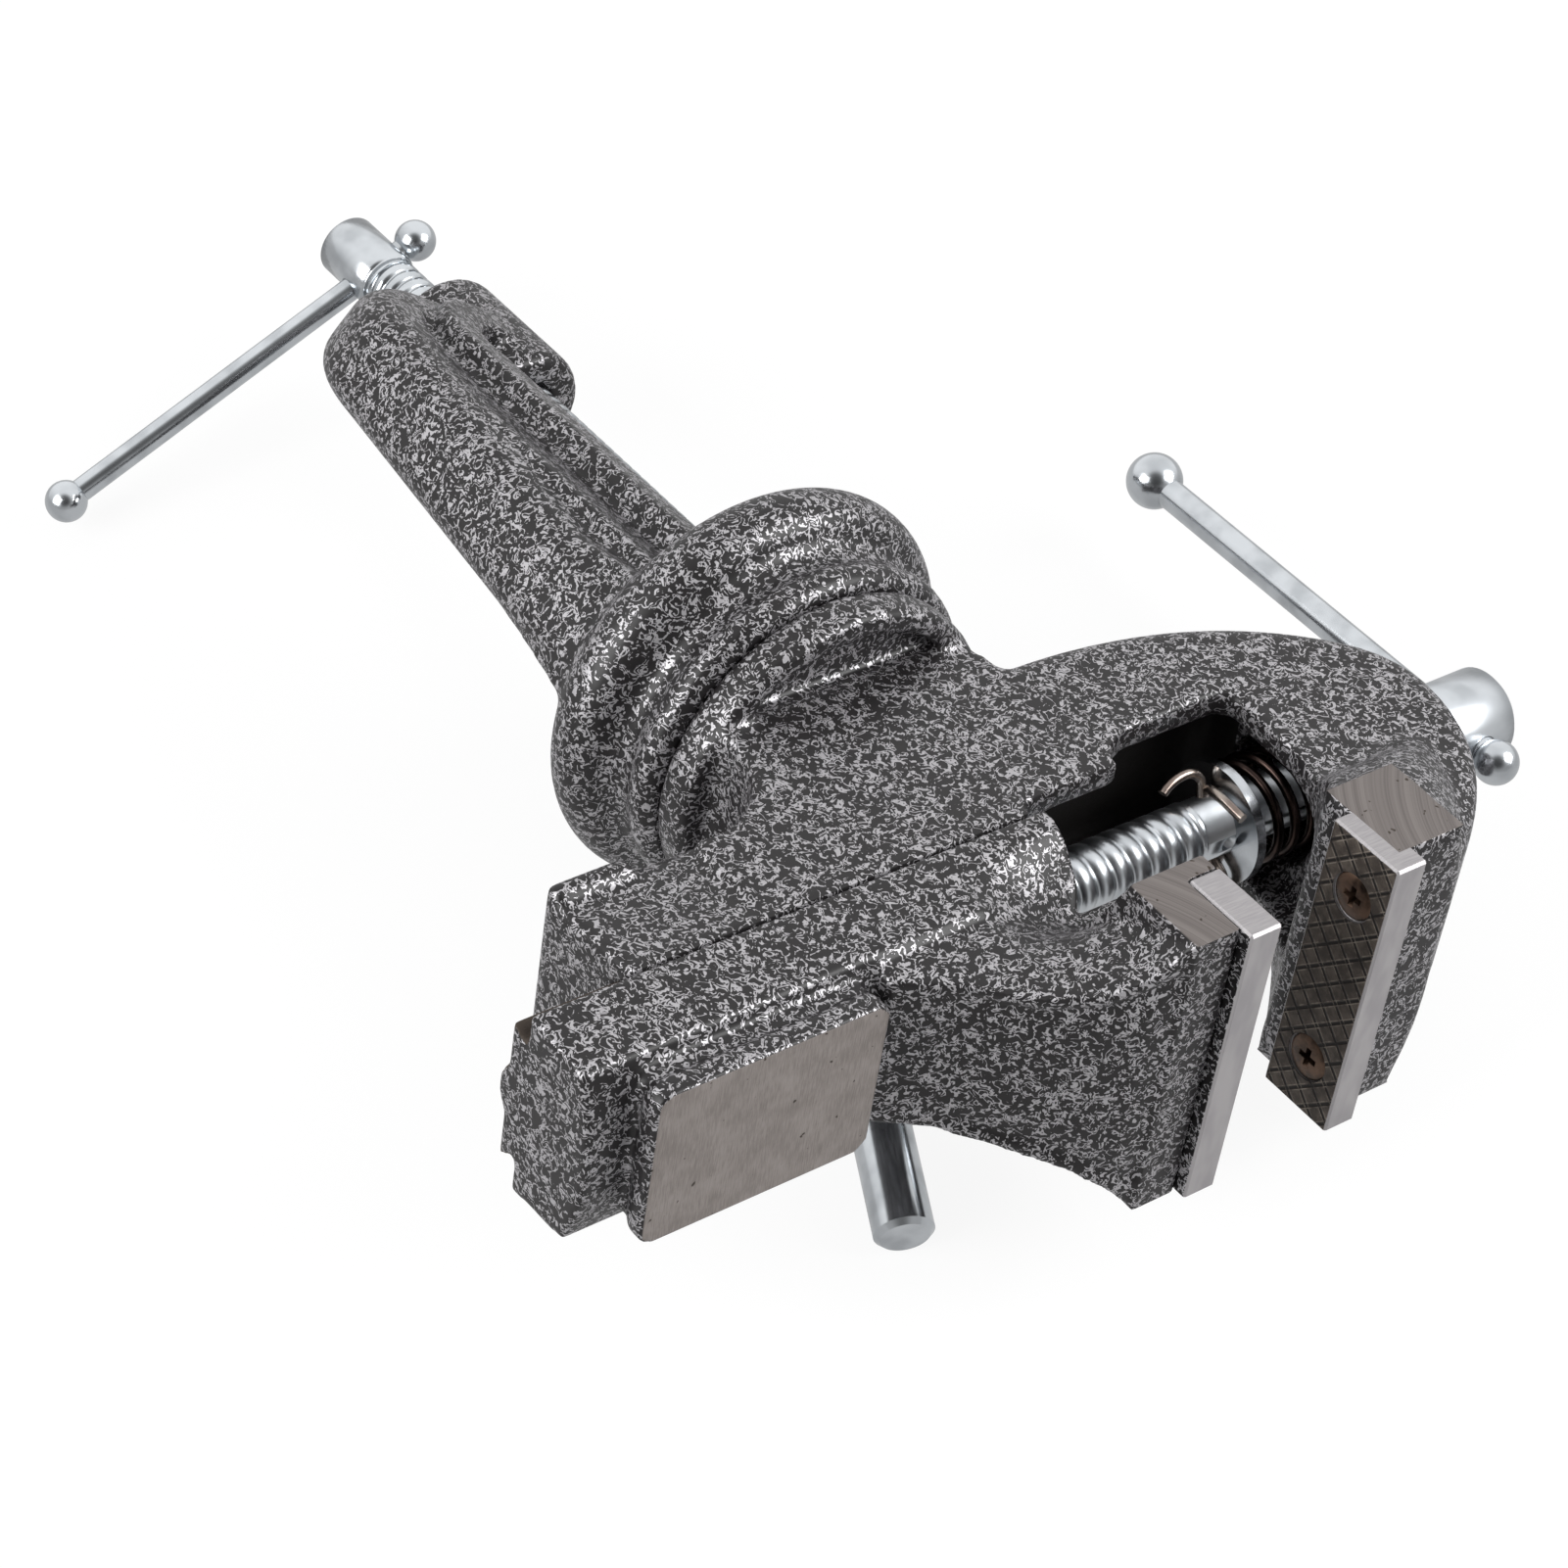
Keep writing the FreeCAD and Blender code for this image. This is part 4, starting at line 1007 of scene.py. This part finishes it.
def add_floor():
    facing = FLOOR_NORMAL.to_track_quat("Z", "Y").to_matrix().to_4x4()
    place = Matrix.Translation(-FLOOR_NORMAL * FLOOR_DEPTH) @ facing
    bm = bmesh.new()
    bmesh.ops.create_grid(bm, x_segments=1, y_segments=1, size=FLOOR_HALF, matrix=place)
    mesh = mesh_from("table_top", bm)
    mesh.materials.append(table_white())
    table = add_object("table_top", mesh)


def add_lamp(name, toward, distance, size, power):
    """Square lamp that shines at the origin from some way off."""
    data = bpy.data.lights.new(name, "AREA")
    data.size = size
    data.energy = power
    direction = Vector(toward).normalized()
    facing = direction.to_track_quat("Z", "Y").to_matrix().to_4x4()
    lamp = add_object(name, data)
    lamp.matrix_world = Matrix.Translation(direction * distance) @ facing


def add_room():
    """World that is white to the camera and even on the object.

    Metal mirrors it brighter overhead and dim where the camera stands.
    """
    world = bpy.data.worlds.new("studio")
    bpy.context.scene.world = world
    world.use_nodes = True
    room = Nodes(world.node_tree)
    room.tree.nodes.clear()
    place = room.node("ShaderNodeTexCoord", output="Generated")

    def toward(direction):
        inputs = {0: place, 1: direction}
        return room.node("ShaderNodeVectorMath", {"operation": "DOT_PRODUCT"}, inputs, "Value")

    def background(strength):
        return room.node("ShaderNodeBackground", None, {"Color": WHITE, "Strength": strength})

    dim = room.step(toward(CAMERA_BACK), 0.72, 0.97, start=1.0, end=0.16)
    overhead = room.step(toward(CAMERA_UP), -0.3, 0.75, start=0.45, end=1.15)
    mirrored = room.node("ShaderNodeLightPath", output="Is Glossy Ray")
    seen = room.node("ShaderNodeLightPath", output="Is Camera Ray")
    around = room.blend(mirrored, background(ROOM_LIGHT), background(dim * overhead))
    output = room.tree.nodes.new("ShaderNodeOutputWorld")
    room.feed(output.inputs["Surface"], room.blend(seen, around, background(1.0)))


# ---- the scene ----------------------------------------------------------------

def build():
    add_camera()
    add_room()
    add_lamp("key", toward=(0.52, 0.59, 0.60), distance=0.9, size=0.5, power=7)
    add_lamp("side", toward=(-0.9, 0.35, -0.1), distance=0.9, size=0.6, power=8)
    bpy.context.scene.view_settings.view_transform = "Standard"
    add_floor()
    slider_skin()
    body_skin()
    clamp_skin()
    zinc_x = zinc("zinc_along_x", "x")
    zinc_z = zinc("zinc_along_z", "z")
    threaded_spindle(zinc("satin_zinc", "x", SATIN_ZINC))
    threaded_clamp_screw(zinc_z)
    coil_spring(wire_steel("oiled_spring", SPRING_OILED))
    split_pin(wire_steel("pin_wire", PIN_OILED))
    golden = screw_steel()
    cross_screws("rear_cross_screws", "rear_plate_screws", REAR_PLATE_HIGH.x, -1, "moving_jaw", golden)
    cross_screws("front_cross_screws", "front_plate_screws", FRONT_PLATE_LOW.x, 1, "vise", golden)
    dress(zinc_x, "spindle_washer")
    dress(zinc_z, "spindle_bar", "spindle_bar_small_ball", "spindle_bar_large_ball", "clamp_pad")
    dress(zinc_z, "lock_screw", "lock_lever", "clamp_bar", "clamp_bar_balls")
    dress(plate_steel(), "rear_jaw_plate", "front_jaw_plate")
    dress(plain_steel(), "swivel_pin")
    dress(turned_brass(), "lock_shoe")


build()
